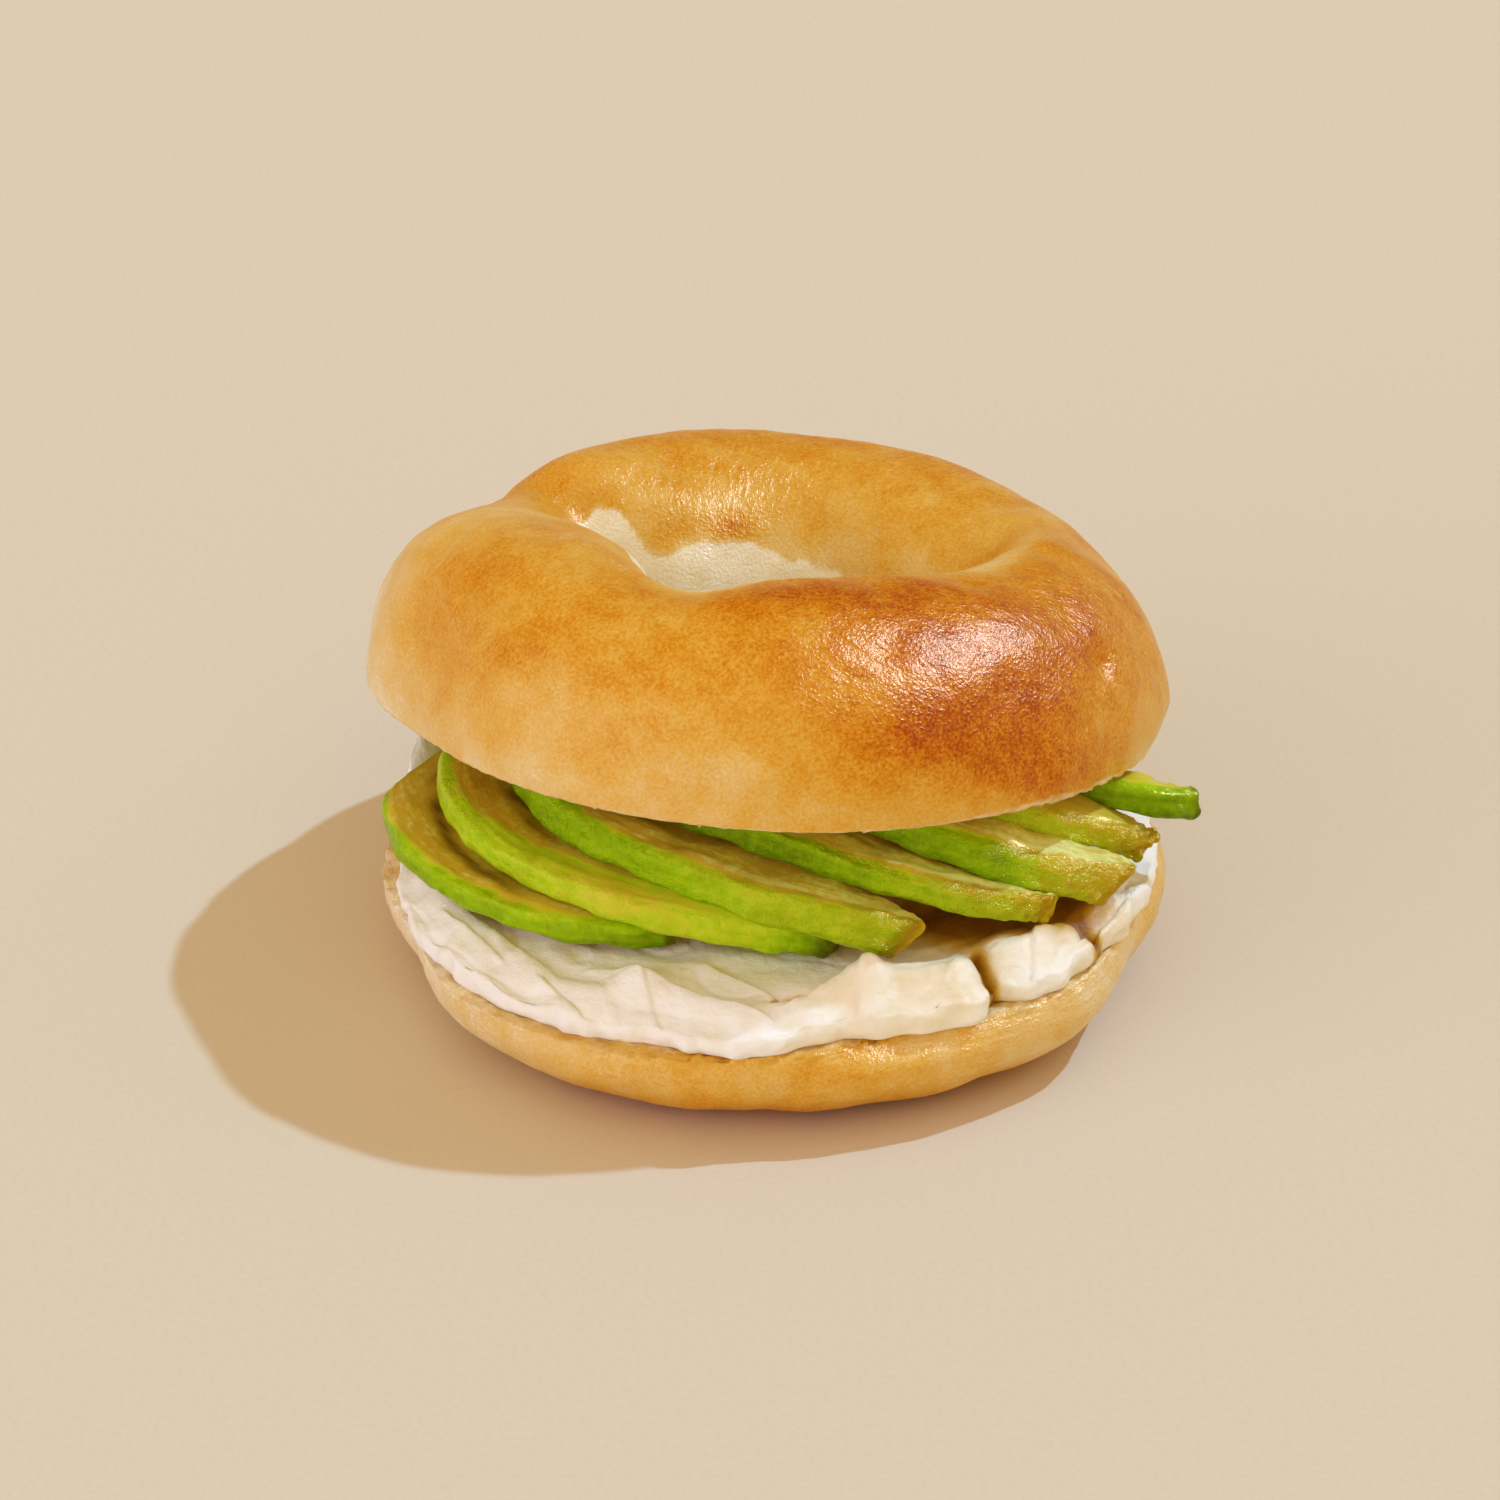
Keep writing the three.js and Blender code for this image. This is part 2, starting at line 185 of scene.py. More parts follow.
# %% Crown measures
CROWN_AT = np.array([-1.5, 6.0, 33.0])
TILT_BACK, TILT_RIGHT = np.radians(12.8), np.radians(3.4)
CROWN_RADIUS, CROWN_HALF_WIDTH, CROWN_HEIGHT = 35.4, 18.1, 27.8
BELLY, UNDER_BELLY, ARCH_ROUNDNESS = 5.5, 15.0, 2.25
OUTER_SWELLS = [(0, 18, 0.9), (30, 40, -0.5), (180, 22, 0.6), (202, 18, -2.9), (220, 22, -1.9),
                (270, 40, -0.8), (303, 18, -1.3), (331, 18, -1.6)]
INNER_SWELLS = [(148, 14, -9), (192, 21, 4.2), (240, 13, -4.5), (285, 30, 1), (352, 28, -5)]
HEIGHT_SWELLS = [(95, 35, 1.6), (60, 16, 0.9), (140, 14, 0.9), (160, 24, -3.6), (25, 30, -1.2),
                 (247, 18, -2.8), (325, 16, -1.2)]
ROUNDNESS_SWELLS = [(5, 22, -0.7), (150, 22, -0.6)]
CURL_SWELLS, CURL_PART = [(235, 25, 0.4), (318, 30, 0.7)], 0.2
SEAM_AT, SEAM_WIDTH, SEAM_DEPTH, SEAM_PINCH = 147, 5, 2.2, 1.2
SEAM_START, SEAM_LENGTH = 0.12, 0.8


def crown_arch(azimuth, part):
    """Crown section in the ring's own frame: superellipse from the outer cut edge (part 0) over
    the top to the inner cut edge (part 1), sunk by the seam where the dough's ends meet."""
    roundness = swelled(ARCH_ROUNDNESS, ROUNDNESS_SWELLS, azimuth)
    start = np.arcsin((BELLY / UNDER_BELLY) ** (roundness / 2))
    angle = -start + part * (np.pi + 2 * start)
    across, lift = squared(np.cos(angle), roundness), squared(np.sin(angle), roundness)
    outer = swelled(CROWN_HALF_WIDTH, OUTER_SWELLS, azimuth)
    inner = swelled(CROWN_HALF_WIDTH, INNER_SWELLS, azimuth)
    rise = swelled(CROWN_HEIGHT, HEIGHT_SWELLS, azimuth) - BELLY
    crease = np.sin(np.pi * np.clip((part - SEAM_START) / SEAM_LENGTH, 0, 1))
    crease = crease * bell(azimuth, SEAM_AT, SEAM_WIDTH)
    radius = CROWN_RADIUS + across * np.where(across > 0, outer, inner)
    radius = radius - SEAM_PINCH * crease * np.cos(angle)
    curl = swelled(0, CURL_SWELLS, azimuth) * np.clip(1 - part / CURL_PART, 0, 1) ** 2
    z = BELLY + lift * np.where(lift > 0, rise, UNDER_BELLY) + curl
    return on_ring(radius, azimuth, z - SEAM_DEPTH * crease * np.abs(np.sin(angle)))


def tilted(points):
    """The ring's own frame turned by its two tilts and lifted to where the slices hold it."""
    x, y, z = np.moveaxis(points, -1, 0)
    x, z = (x * np.cos(TILT_RIGHT) + z * np.sin(TILT_RIGHT),
            z * np.cos(TILT_RIGHT) - x * np.sin(TILT_RIGHT))
    y, z = (y * np.cos(TILT_BACK) + z * np.sin(TILT_BACK),
            z * np.cos(TILT_BACK) - y * np.sin(TILT_BACK))
    return np.stack([x, y, z], -1) + CROWN_AT


front = crown_arch(np.array(270.0), np.linspace(0, 1, 50))
print(f"crown: {front[:, 2].max():.1f} mm tall at the front before it is tilted")

# %% [markdown]
# The skin of the dough has wrinkles that run slantwise from the hole outwards, where it was
# stretched over the ring, and a few dimples. Sculpting them one by one would be slow and hard to
# repeat, so wrinkles are an unevenness read at stretched measures: long along the section and
# short along the ring. The cut edge is ragged, and the cut face has the holes of crumb.

# %% Crown surface
# A dimple is (azimuth, part, radius, depth) and a wrinkled area (azimuth, half width, part, half
# part, amount), in degrees and mm.
DIMPLES = [(149, 0.54, 2.6, 1.0), (117, 0.59, 3.2, 0.7), (330, 0.22, 2.4, 1.1),
           (287, 0.31, 2.6, 0.35), (313, 0.485, 2.6, 1.2), (344, 0.46, 3.2, 1.0),
           (127, 0.74, 3.0, 0.6), (300, 0.46, 4.0, 0.5)]
WRINKLED = [(286, 14, 0.38, 0.18, 1), (324, 14, 0.38, 0.20, 1), (345, 12, 0.28, 0.20, 1),
            (335, 22, 0.42, 0.22, 1), (232, 22, 0.46, 0.12, 1), (60, 45, 0.62, 0.13, 1),
            (116, 32, 0.58, 0.10, 1)]
SLANT, SLANT_FROM = [(310, 60, 70), (80, 50, -50)], 0.4
SECTION_LENGTH, SQUEEZE = 82.0, [1, 1, 0.5]
CROWN_LOOPS, ARCH_POINTS, FACE_POINTS = 470, 168, 36
CROWN_LUMPS = [(0.25, 19, 1), (0.12, 9, 2), (0.05, 4, 3)]
CRUMB_LUMPS = [(0.35, 2.2, 5), (0.25, 1.3, 6)]
RAGGED_LUMPS, RAGGED_SINK = [(0.5, 2.6, 7), (0.35, 1.3, 8)], 0.15
CRUST_EDGE, FACE_EDGE = 0.012, 0.03
TORN, TORN_SWELLS = 0.10, [(322, 16, 0.35)]

turn = np.arange(CROWN_LOOPS) / CROWN_LOOPS * 360
part = np.linspace(0, 1, ARCH_POINTS)
azimuth, arch_part = np.meshgrid(turn, part, indexing="ij")
arch = crown_arch(azimuth, arch_part)
back_over = (np.arange(1, FACE_POINTS + 1) / (FACE_POINTS + 1))[None, :, None]
face = arch[:, -1:] * (1 - back_over) + arch[:, :1] * back_over
crown = np.concatenate([arch, face], 1)
ring_turn = np.repeat(turn[:, None], crown.shape[1], 1)
section_part = np.concatenate([arch_part, 1 + back_over[..., 0] + 0 * turn[:, None]], 1)
on_face = section_part > 1

slant = swelled(0, SLANT, ring_turn) * (section_part - SLANT_FROM)
stretched = on_ring(CROWN_RADIUS, ring_turn + slant, section_part * SECTION_LENGTH) * SQUEEZE
wrinkled = np.clip(spotted(0, WRINKLED, ring_turn, section_part), 0, 1)
ridges = 1 - np.abs(unevenness(stretched, 3.0, 11)) * 2
relief = layered(crown, CROWN_LUMPS)
relief += wrinkled * (0.04 * ridges + 0.06 * unevenness(stretched, 1.8, 12))
for at, over, radius, depth in DIMPLES:
    spot = crown_arch(np.array(float(at)), np.array(over))
    relief -= depth * hump(np.linalg.norm(crown - spot, axis=-1), radius)
edge = np.where(on_face, hump(np.minimum(section_part - 1, 2 - section_part), FACE_EDGE),
                hump(np.minimum(section_part, np.abs(section_part - 1)), CRUST_EDGE))
relief = np.where(on_face, 0, relief) * (1 - edge)
relief += np.where(on_face, layered(crown, CRUMB_LUMPS), 0)
relief += (edge * swelled(TORN, TORN_SWELLS, ring_turn)
           * (layered(crown, RAGGED_LUMPS) - RAGGED_SINK))
crown = crown + outward(crown, True) * relief[..., None]
print(f"crown relief: {relief.min():.2f} to {relief.max():.2f} mm")

# %% [markdown]
# Browning follows the heat. The crest facing front right browned most; the belly, the left lobe
# and the wall of the hole stayed pale. It could be painted by hand, but a sum of soft spots, each
# at an azimuth and a part of the section, can be read and changed. It is stored on the mesh, so
# that the finish reads it as a number from 0 to 1. Low on the hole's wall the crust never browned
# at all, and that pale dough has a sharp border.

# %% Crown browning
BROWNING_PARTS = [0, 0.06, 0.14, 0.3, 0.5, 0.64, 0.72, 0.79, 0.86, 1.0]
BROWNING = [0.24, 0.27, 0.36, 0.50, 0.53, 0.43, 0.33, 0.19, 0.06, 0.05]
# A baked spot is laid out as a wrinkled area is. PALE_FROM has (azimuth, part of the section at
# which the unbrowned dough starts).
BAKED_SPOTS = [
    (305, 26, 0.26, 0.20, 0.30), (296, 13, 0.15, 0.06, 0.20), (293, 20, 0.46, 0.06, 0.16),
    (318, 17, 0.06, 0.07, 0.32), (335, 18, 0.30, 0.16, 0.10), (273, 14, 0.45, 0.07, 0.12),
    (184, 14, 0.28, 0.30, -0.26), (209, 10, 0.16, 0.09, 0.12), (215, 22, 0.02, 0.07, -0.06),
    (240, 16, 0.20, 0.10, -0.08), (256, 9, 0.36, 0.07, -0.12), (275, 22, 0.00, 0.05, 0.06),
    (142, 13, 0.56, 0.12, -0.10), (22, 20, 0.57, 0.10, -0.10), (95, 26, 0.52, 0.05, 0.05),
    (254, 9, 0.54, 0.035, -0.45), (330, 14, 0.555, 0.05, -0.30), (130, 14, 0.78, 0.06, -0.10),
    (135, 8, 0.70, 0.07, -0.10), (60, 30, 0.76, 0.04, 0.06), (104, 8, 0.75, 0.03, 0.30),
    (131, 4, 0.73, 0.04, 0.24), (222, 18, 0.46, 0.09, -0.15), (205, 22, 0.27, 0.20, 0.03),
    (255, 30, 0.30, 0.16, 0.05)]
PALE_FROM = [
    (0, 0.86), (41, 0.84), (55, 0.812), (80, 0.801), (94, 0.784), (104, 0.775), (113, 0.771),
    (123, 0.764), (128, 0.762), (131, 0.774), (134, 0.765), (136, 0.745), (137.5, 0.70),
    (139, 0.665), (142, 0.650), (150, 0.66), (180, 0.68), (230, 0.70), (260, 0.72), (300, 0.74),
    (340, 0.80)]
BAKED_LUMPS = [(0.045, 12, 21), (0.03, 5, 22)]
PALE_START, PALE_END, PALE_TONE = -0.005, 0.006, 0.01
TOASTED_RIM, RIM_ABOVE, RIM_HALF = [(115, 22, 0.12)], 0.025, 0.02
FRINGE, FRINGE_SWELLS, FRINGE_SOFTNESS = 0.002, [(318, 16, 0.016)], 0.003

baked = np.interp(section_part, BROWNING_PARTS, BROWNING)
baked = spotted(baked, BAKED_SPOTS, ring_turn, section_part) + layered(crown, BAKED_LUMPS)
pale_from = np.interp(ring_turn, *zip(*PALE_FROM), period=360) + 0.004 * unevenness(crown, 3, 24)
unbaked = smooth(section_part, pale_from + PALE_START, pale_from + PALE_END)
rim = hump(section_part - pale_from + RIM_ABOVE, RIM_HALF)
baked += swelled(0, TOASTED_RIM, ring_turn) * rim
baked = baked * (1 - unbaked) + unbaked * (PALE_TONE + 0.02 * unevenness(crown, 4, 25))
fringe = FRINGE + swelled(0, FRINGE_SWELLS, ring_turn) * (1 + 0.5 * unevenness(crown, 2.0, 23))
crumb = smooth(fringe - section_part, -FRINGE_SOFTNESS, FRINGE_SOFTNESS)
cut = np.maximum(np.where(on_face, 1.0, crumb), smooth(section_part, 0.985, 0.995))
top_crust = skin("top_crust", tilted(crown), True,
                 {"baked": np.clip(baked, 0, 1), "cut": cut, "wrap": stretched * MM,
                  "creased": (0.15 + 0.75 * wrinkled) * (1 - 0.8 * unbaked)})

# %% [markdown]
# ## The heel
# The heel is the bottom of the same ring. It is flat where it lay on the tray, rounds up to its
# cut face, and is paler than the crown because the tray kept the heat off it, with a browner line
# where it touched. At the right front that line is darkened further as painted shade over the gap
# under the heel, and the left side is made paler, partly as painted light where it lies in shade.
# The knife went through at a slight slope. A whole ring cut by a plane would leave a ragged mesh
# there, so each section is made to end exactly on that sloping plane instead.

# %% Heel measures and surface
CUT_HEIGHT, CUT_SLOPE = 14.0, 0.035
HEEL_RADIUS, HEEL_OUTER, HEEL_INNER = 34.6, 17.1, 17.5
HEEL_BELLY, HEEL_RISE, TRAY_DEPTH, HEEL_ROUNDNESS = 11.0, 14.0, 0.35, 1.9
HEEL_SWELLS = [(180, 12, 1.2), (200, 9, -1.2), (222, 14, 0.9), (277, 26, -1.7), (321, 10, 0.9),
               (340, 9, -1.4), (2, 12, 1.2)]
HEEL_DIP = [(290, 17, -8.5)]
HEEL_LOOPS, UNDER_POINTS, TOP_POINTS = 440, 110, 44
HEEL_LUMPS = [(0.22, 15, 31), (0.10, 6, 32), (0.04, 2.6, 33)]
HEEL_CRUMB, HEEL_RAGGED, HEEL_SINK = [(0.2, 2.2, 34)], [(0.45, 2.4, 35), (0.3, 1.2, 36)], 0.1
HEEL_TOP_EDGE, HEEL_SIDE_EDGE = 0.035, 0.012


def cut_at(x):
    """Height of the sloping cut at a distance along X."""
    return CUT_HEIGHT + CUT_SLOPE * x


def heel_under(azimuth, part):
    """Heel section: superellipse from the inner cut edge (part 0) under the base to the outer
    cut edge (part 1). Its angles start and end where the section meets the cut."""
    outer = swelled(HEEL_OUTER, HEEL_SWELLS, azimuth)
    rise = swelled(HEEL_RISE, HEEL_DIP, azimuth)
    east = np.cos(np.radians(azimuth))
    start, end = (np.arcsin(((cut_at(reach * east) - HEEL_BELLY) / rise) ** (HEEL_ROUNDNESS / 2))
                  for reach in (HEEL_RADIUS - HEEL_INNER, HEEL_RADIUS + outer))
    angle = np.pi - start + part * (np.pi + start + end)
    across, lift = squared(np.cos(angle), HEEL_ROUNDNESS), squared(np.sin(angle), HEEL_ROUNDNESS)
    radius = HEEL_RADIUS + across * np.where(across > 0, outer, HEEL_INNER)
    z = HEEL_BELLY + lift * np.where(lift > 0, rise, HEEL_BELLY + TRAY_DEPTH)
    on_cut = (part == 0) | (part == 1)
    return on_ring(radius, azimuth, np.where(on_cut, cut_at(radius * east), np.maximum(z, 0)))


turn = np.arange(HEEL_LOOPS) / HEEL_LOOPS * 360
azimuth, under_part = np.meshgrid(turn, np.linspace(0, 1, UNDER_POINTS), indexing="ij")
under = heel_under(azimuth, under_part)
inwards = (np.arange(1, TOP_POINTS + 1) / (TOP_POINTS + 1))[None, :, None]
heel = np.concatenate([under, under[:, -1:] * (1 - inwards) + under[:, :1] * inwards], 1)
heel_part = np.concatenate([under_part, 1 + inwards[..., 0] + 0 * turn[:, None]], 1)
ring_turn = np.repeat(turn[:, None], heel.shape[1], 1)
on_top = heel_part > 1

on_tray = smooth(-heel[..., 2], -1.2, -0.15)
edge = hump(heel_part - 1, np.where(on_top, HEEL_TOP_EDGE, HEEL_SIDE_EDGE))
relief = layered(heel, HEEL_LUMPS) * (1 - on_tray)
relief = np.where(on_top, layered(heel, HEEL_CRUMB), relief) * (1 - edge)
relief += edge * (layered(heel, HEEL_RAGGED) - HEEL_SINK)
heel = heel + outward(heel, True) * relief[..., None]
heel[..., 2] = np.maximum(heel[..., 2], 0)
print(f"heel relief: {relief.min():.2f} to {relief.max():.2f} mm")

# %% Heel browning
# The bell at azimuth 200 makes the left side paler, partly painted light where that side lies in
# shade.
HEEL_BAKED, HEEL_BROWNING_AND_LIGHT = 0.28, [(275, 40, 0.10), (200, 36, -0.22), (322, 28, -0.14)]
# The bell at azimuth 300 darkens the tray line at the right front: painted shade over the gap under
# the heel.
LOW_BROWN, TRAY_LINE, TRAY_LINE_AND_GAP_SHADE = 0.16, 0.20, [(300, 40, 0.30)]
HEEL_MOTTLE = [(0.03, 9, 37), (0.03, 4, 38)]
BARE_FROM, BARE_SWELLS, BARE_SOFTNESS = 1.05, [(306, 26, -0.05)], 0.005
HEEL_LENGTH = 60

height = heel[..., 2]
baked = swelled(HEEL_BAKED, HEEL_BROWNING_AND_LIGHT, ring_turn) + LOW_BROWN * smooth(height, 9, 2)
baked += layered(heel, HEEL_MOTTLE)
baked += smooth(height, 3.2, 0.6) * swelled(TRAY_LINE, TRAY_LINE_AND_GAP_SHADE, ring_turn)
bare = swelled(BARE_FROM, BARE_SWELLS, ring_turn) + 0.012 * unevenness(heel, 3, 39)
wrap = on_ring(HEEL_RADIUS, ring_turn, heel_part * HEEL_LENGTH) * [0.3, 0.3, 1]
bottom_crust = skin("bottom_crust", heel, True,
                    {"baked": np.clip(baked, 0, 1), "wrap": wrap * MM,
                     "cut": smooth(heel_part, bare - BARE_SOFTNESS, bare + BARE_SOFTNESS),
                     "creased": 0.3 + 0.5 * bell(ring_turn, 318, 35)})

# %% [markdown]
# ## The cream cheese
# Cream cheese holds every stroke of the knife: soft ridges, grooves between them, folds where a
# sheet of it was laid over another, and torn lips at the edge, where the spread stands thick over
# the bread. A stroke is a hump across a line. A fold is a step on one side of a line, so it keeps
# a crisp edge, which random bumps never give. Fine drag marks run round the ring, the way the
# knife went. Stains are lines too: they paint shade on the spread, amber and darker, under the
# ends of the slices, in the crevices and deep grooves and over the front lobes, with some avocado
# smear where the slices lie.

# %% Cream measures
CLEARANCE = 0.3
CREAM_INNER, CREAM_OUTER, CREAM_THICK, CREAM_EDGE = 17.5, 51.0, 4.9, 2.6
EDGE_SWELLS = [(182, 8, -0.6), (233, 5, -0.9), (250, 8, -2.4), (281, 14, -3.6), (306, 3, -3.4),
               (345, 20, 0.3), (90, 60, -0.8)]
# Each line is (x, y) to (x, y), its half width and its height, all in mm, or the depth of a stain:
# in the last table that is painted shade with some avocado smear.
STROKES = [
    (12, -40.5, 23.5, -39.6, 3.4, 2.3), (13, -44.2, 22, -43, 2.6, 1.1),
    (29.5, -33.6, 37.5, -31, 3.2, 1.9), (25.6, -34.6, 28.8, -41.4, 0.9, -2.0),
    (41, -24, 46, -21, 3, 1.6), (48, -18, 50, -12, 2.4, 1.4),
    (39.2, -27, 43.4, -30.2, 1.0, -1.5), (2.5, -45, 12, -41, 2.1, 0.9),
    (-28, -42.5, -17, -39, 3, 0.8), (-17, -39, -10, -35.5, 2.6, 0.8),
    (-42, -26, -36, -34, 3, 0.8), (-46, 12, -42, 21, 4.5, 3.8), (-36, 34, -20, 44, 5, 2.6),
    (-16, 46, 18, 45, 5, 2.4), (22, 43, 40, 27, 5, 1.2), (49, -5, 47, 8, 3, 1),
    (-50.5, 9, -48.5, 15, 3.6, 7.5), (-34.2, -26.6, -33.9, -29, 1.1, -0.4),
    (-27.4, -28.8, -25, -32, 1.1, -0.4), (-8, -35, -5.8, -36.2, 0.8, -0.5),
    (-0.6, -43.7, 3.2, -42.5, 0.8, -0.8)]
FOLDS = [
    (-10.7, -42.3, -1.2, -47, 4, 0.9), (-8, -36.5, 0.2, -42.9, 4, 0.8),
    (2.4, -44.4, 10.8, -38.8, 4, 0.8), (-22.6, -35.7, -12.3, -41.1, 3.5, 0.7),
    (-17.4, -38.4, -14.8, -46, 3, 0.5), (-29.7, -36.5, -23.7, -45.1, 3, 0.6),
    (10.5, -47, 10.7, -40, 4, 0.7), (20, -46, 22.5, -39, 3, 0.5), (33, -38, 33.2, -31, 3, 0.7),
    (40, -29.5, 45.7, -22.5, 3, 0.8), (42.5, -21, 49, -19.8, 2.5, 0.9),
    (-43, -20, -36, -30.5, 3, 0.5), (-39, -22, -30, -33, 3, 0.5)]
# These lines are painted shade, amber and darker, under the slices' ends, in crevices and grooves
# and over the front lobes, with some avocado smear.
SHADE_AND_SMEAR_LINES = [
    (19, -25, 38, -22, 7, 0.9), (27, -27, 34, -27, 7, 0.5), (8.5, -32, 9.5, -32, 3.5, 0.4),
    (10, -44, 24, -40, 7, 0.34), (-34.4, -26.4, -34.1, -28.6, 0.9, 0.35),
    (-27.6, -28.6, -26, -31, 1.0, 0.35), (-8, -35, -6.4, -35.8, 0.7, 0.35),
    (-0.4, -43.6, 2.8, -42.6, 0.6, 0.6), (25.6, -34.6, 28.8, -41.4, 1.2, 0.5),
    (39.2, -27, 43.4, -30.2, 1.2, 0.5)]
FOLD_RISE, FOLD_END = 0.25, 1.5


def stroke_height(x, y, strokes):
    """Sum of height * exp(-(distance from the stroke's line / half width) squared)."""
    total = np.zeros_like(x)
    for x0, y0, x1, y1, half, height in strokes:
        part = ((x - x0) * (x1 - x0) + (y - y0) * (y1 - y0)) / ((x1 - x0) ** 2 + (y1 - y0) ** 2)
        part = np.clip(part, 0, 1)
        away = np.hypot(x - x0 - part * (x1 - x0), y - y0 - part * (y1 - y0))
        total += height * hump(away, half)
    return total


def fold_height(x, y, folds):
    """A sheet folded over a line: it rises in 0.5 mm across the line, then falls off as a hump on
    the right-hand side of it, and fades past both ends."""
    total = np.zeros_like(x)
    for x0, y0, x1, y1, width, height in folds:
        length = np.hypot(x1 - x0, y1 - y0)
        side = ((x - x0) * (y1 - y0) - (y - y0) * (x1 - x0)) / length
        along = ((x - x0) * (x1 - x0) + (y - y0) * (y1 - y0)) / length
        beyond = np.maximum(np.maximum(-along, along - length), 0)
        rise = smooth(side, -FOLD_RISE, FOLD_RISE)
        total += height * rise * hump(side, width) * hump(beyond, FOLD_END)
    return total


print(f"{len(STROKES)} strokes, {len(FOLDS)} folds and {len(SHADE_AND_SMEAR_LINES)} shade_and_smear_lines")

# %% The top of the spread
CREAM_LOOPS, CREAM_SIDE, CREAM_TOP, CREAM_UNDER = 620, 14, 104, 10
FRONT_CROWD, EDGE_CROWD, EDGE_ROUND = 20, 1.5, 5
LIP_LUMPS = [(0.45, 7, 41), (0.22, 3, 42)]
DRAG_SQUEEZE, DRAG_HEIGHT, CREASE_DEPTH, CREASE_WIDTH = 0.25, 0.35, 0.18, 0.18

even = np.arange(CREAM_LOOPS) / CREAM_LOOPS * 360
turn = even - FRONT_CROWD * np.cos(np.radians(even))
lip = (swelled(CREAM_OUTER, EDGE_SWELLS, turn) + layered(on_ring(50, turn, 0), LIP_LUMPS))[:, None]
part = np.linspace(0, 1, CREAM_TOP)[None, :]
azimuth = np.repeat(turn[:, None], CREAM_TOP, 1)
radius = lip - 0.5 + (CREAM_INNER - lip + 0.5) * part ** EDGE_CROWD
spot = on_ring(radius, azimuth, 0)
top_z = cut_at(spot[..., 0]) + CREAM_EDGE
top_z += (CREAM_THICK - CREAM_EDGE) * smooth(lip - radius, 0, EDGE_ROUND)
top_z += stroke_height(spot[..., 0], spot[..., 1], STROKES)
top_z += fold_height(spot[..., 0], spot[..., 1], FOLDS)
flat = 0 * radius
dragged = on_ring(40, azimuth, 0) * DRAG_SQUEEZE + np.stack([flat, flat, radius], -1)
creases = unevenness(dragged, 7, 43) + 0.4 * unevenness(spot, 9, 44)
top_z += DRAG_HEIGHT * unevenness(dragged, 5, 45) - CREASE_DEPTH * hump(creases, CREASE_WIDTH)
top = on_ring(radius, azimuth, top_z)
print(f"spread: {np.ptp(lip):.1f} mm between its widest and its narrowest lip")

# %% The side and underside of the spread
LIP_BULGE, UNDER_LIP = 0.6, 0.9

side_part = np.linspace(0, 1, CREAM_SIDE, endpoint=False)[None, :]
bulge = lip - LIP_BULGE + LIP_BULGE * np.sin(np.pi * (0.15 + 0.7 * side_part))
side_turn = np.repeat(turn[:, None], CREAM_SIDE, 1)
low = cut_at(on_ring(bulge, side_turn, 0)[..., 0]) + CLEARANCE
side = on_ring(bulge, side_turn, low + side_part * (top_z[:, :1] - low))
inner_part = np.linspace(0, 1, CREAM_UNDER, endpoint=False)[None, :]
under_radius = CREAM_INNER + (lip - UNDER_LIP - CREAM_INNER) * inner_part
under_turn = np.repeat(turn[:, None], CREAM_UNDER, 1)
under_z = cut_at(on_ring(under_radius, under_turn, 0)[..., 0]) + CLEARANCE
cream = np.concatenate([on_ring(under_radius, under_turn, under_z), side, top], 1)
print(f"spread: {cream.shape[0]} loops of {cream.shape[1]} points")

# %% Torn lips, painted shade and avocado smear
LIP_REACH, TORN_LUMPS = 4, [(0.22, 4.5, 46), (0.06, 1.8, 47)]
CURDS, GROOVE_SHADE = [(0.05, 1.6, 48)], -0.12

# The underside lies on the bread, so relief grows from nothing at the side's foot.
free = np.concatenate([0 * under_radius, smooth(side_part, 0, 0.3) + 0 * bulge, 1 + flat], 1)
x, y = cream[..., 0], cream[..., 1]
near_lip = hump(np.maximum(lip - np.hypot(x, y), 0), LIP_REACH)
relief = near_lip * layered(cream, TORN_LUMPS) + layered(cream, CURDS)
cream = cream + outward(cream, True) * (relief * free)[..., None]
x, y = cream[..., 0], cream[..., 1]
# Painted shade: the grooves and the lines of painted shade turn the spread amber and darker.
hollow = GROOVE_SHADE * stroke_height(x, y, [line for line in STROKES if line[-1] < 0])
hollow += stroke_height(x, y, SHADE_AND_SMEAR_LINES)
cream_spread = skin("cream_spread", cream, True, {"hollow": np.clip(hollow, 0, 1)})

# %% [markdown]
# ## The avocado slices
# A peeled half avocado cut lengthways gives crescents: a thick green outer edge where the skin
# was, fading to pale yellow at the stone. A crescent could be cut from a ball, but a squared
# section carried along a curve is easier to lay in a fan. The curve is the slice's outer bottom
# edge. A slice is widest in the middle, leans inwards, and has blunt rounded ends.

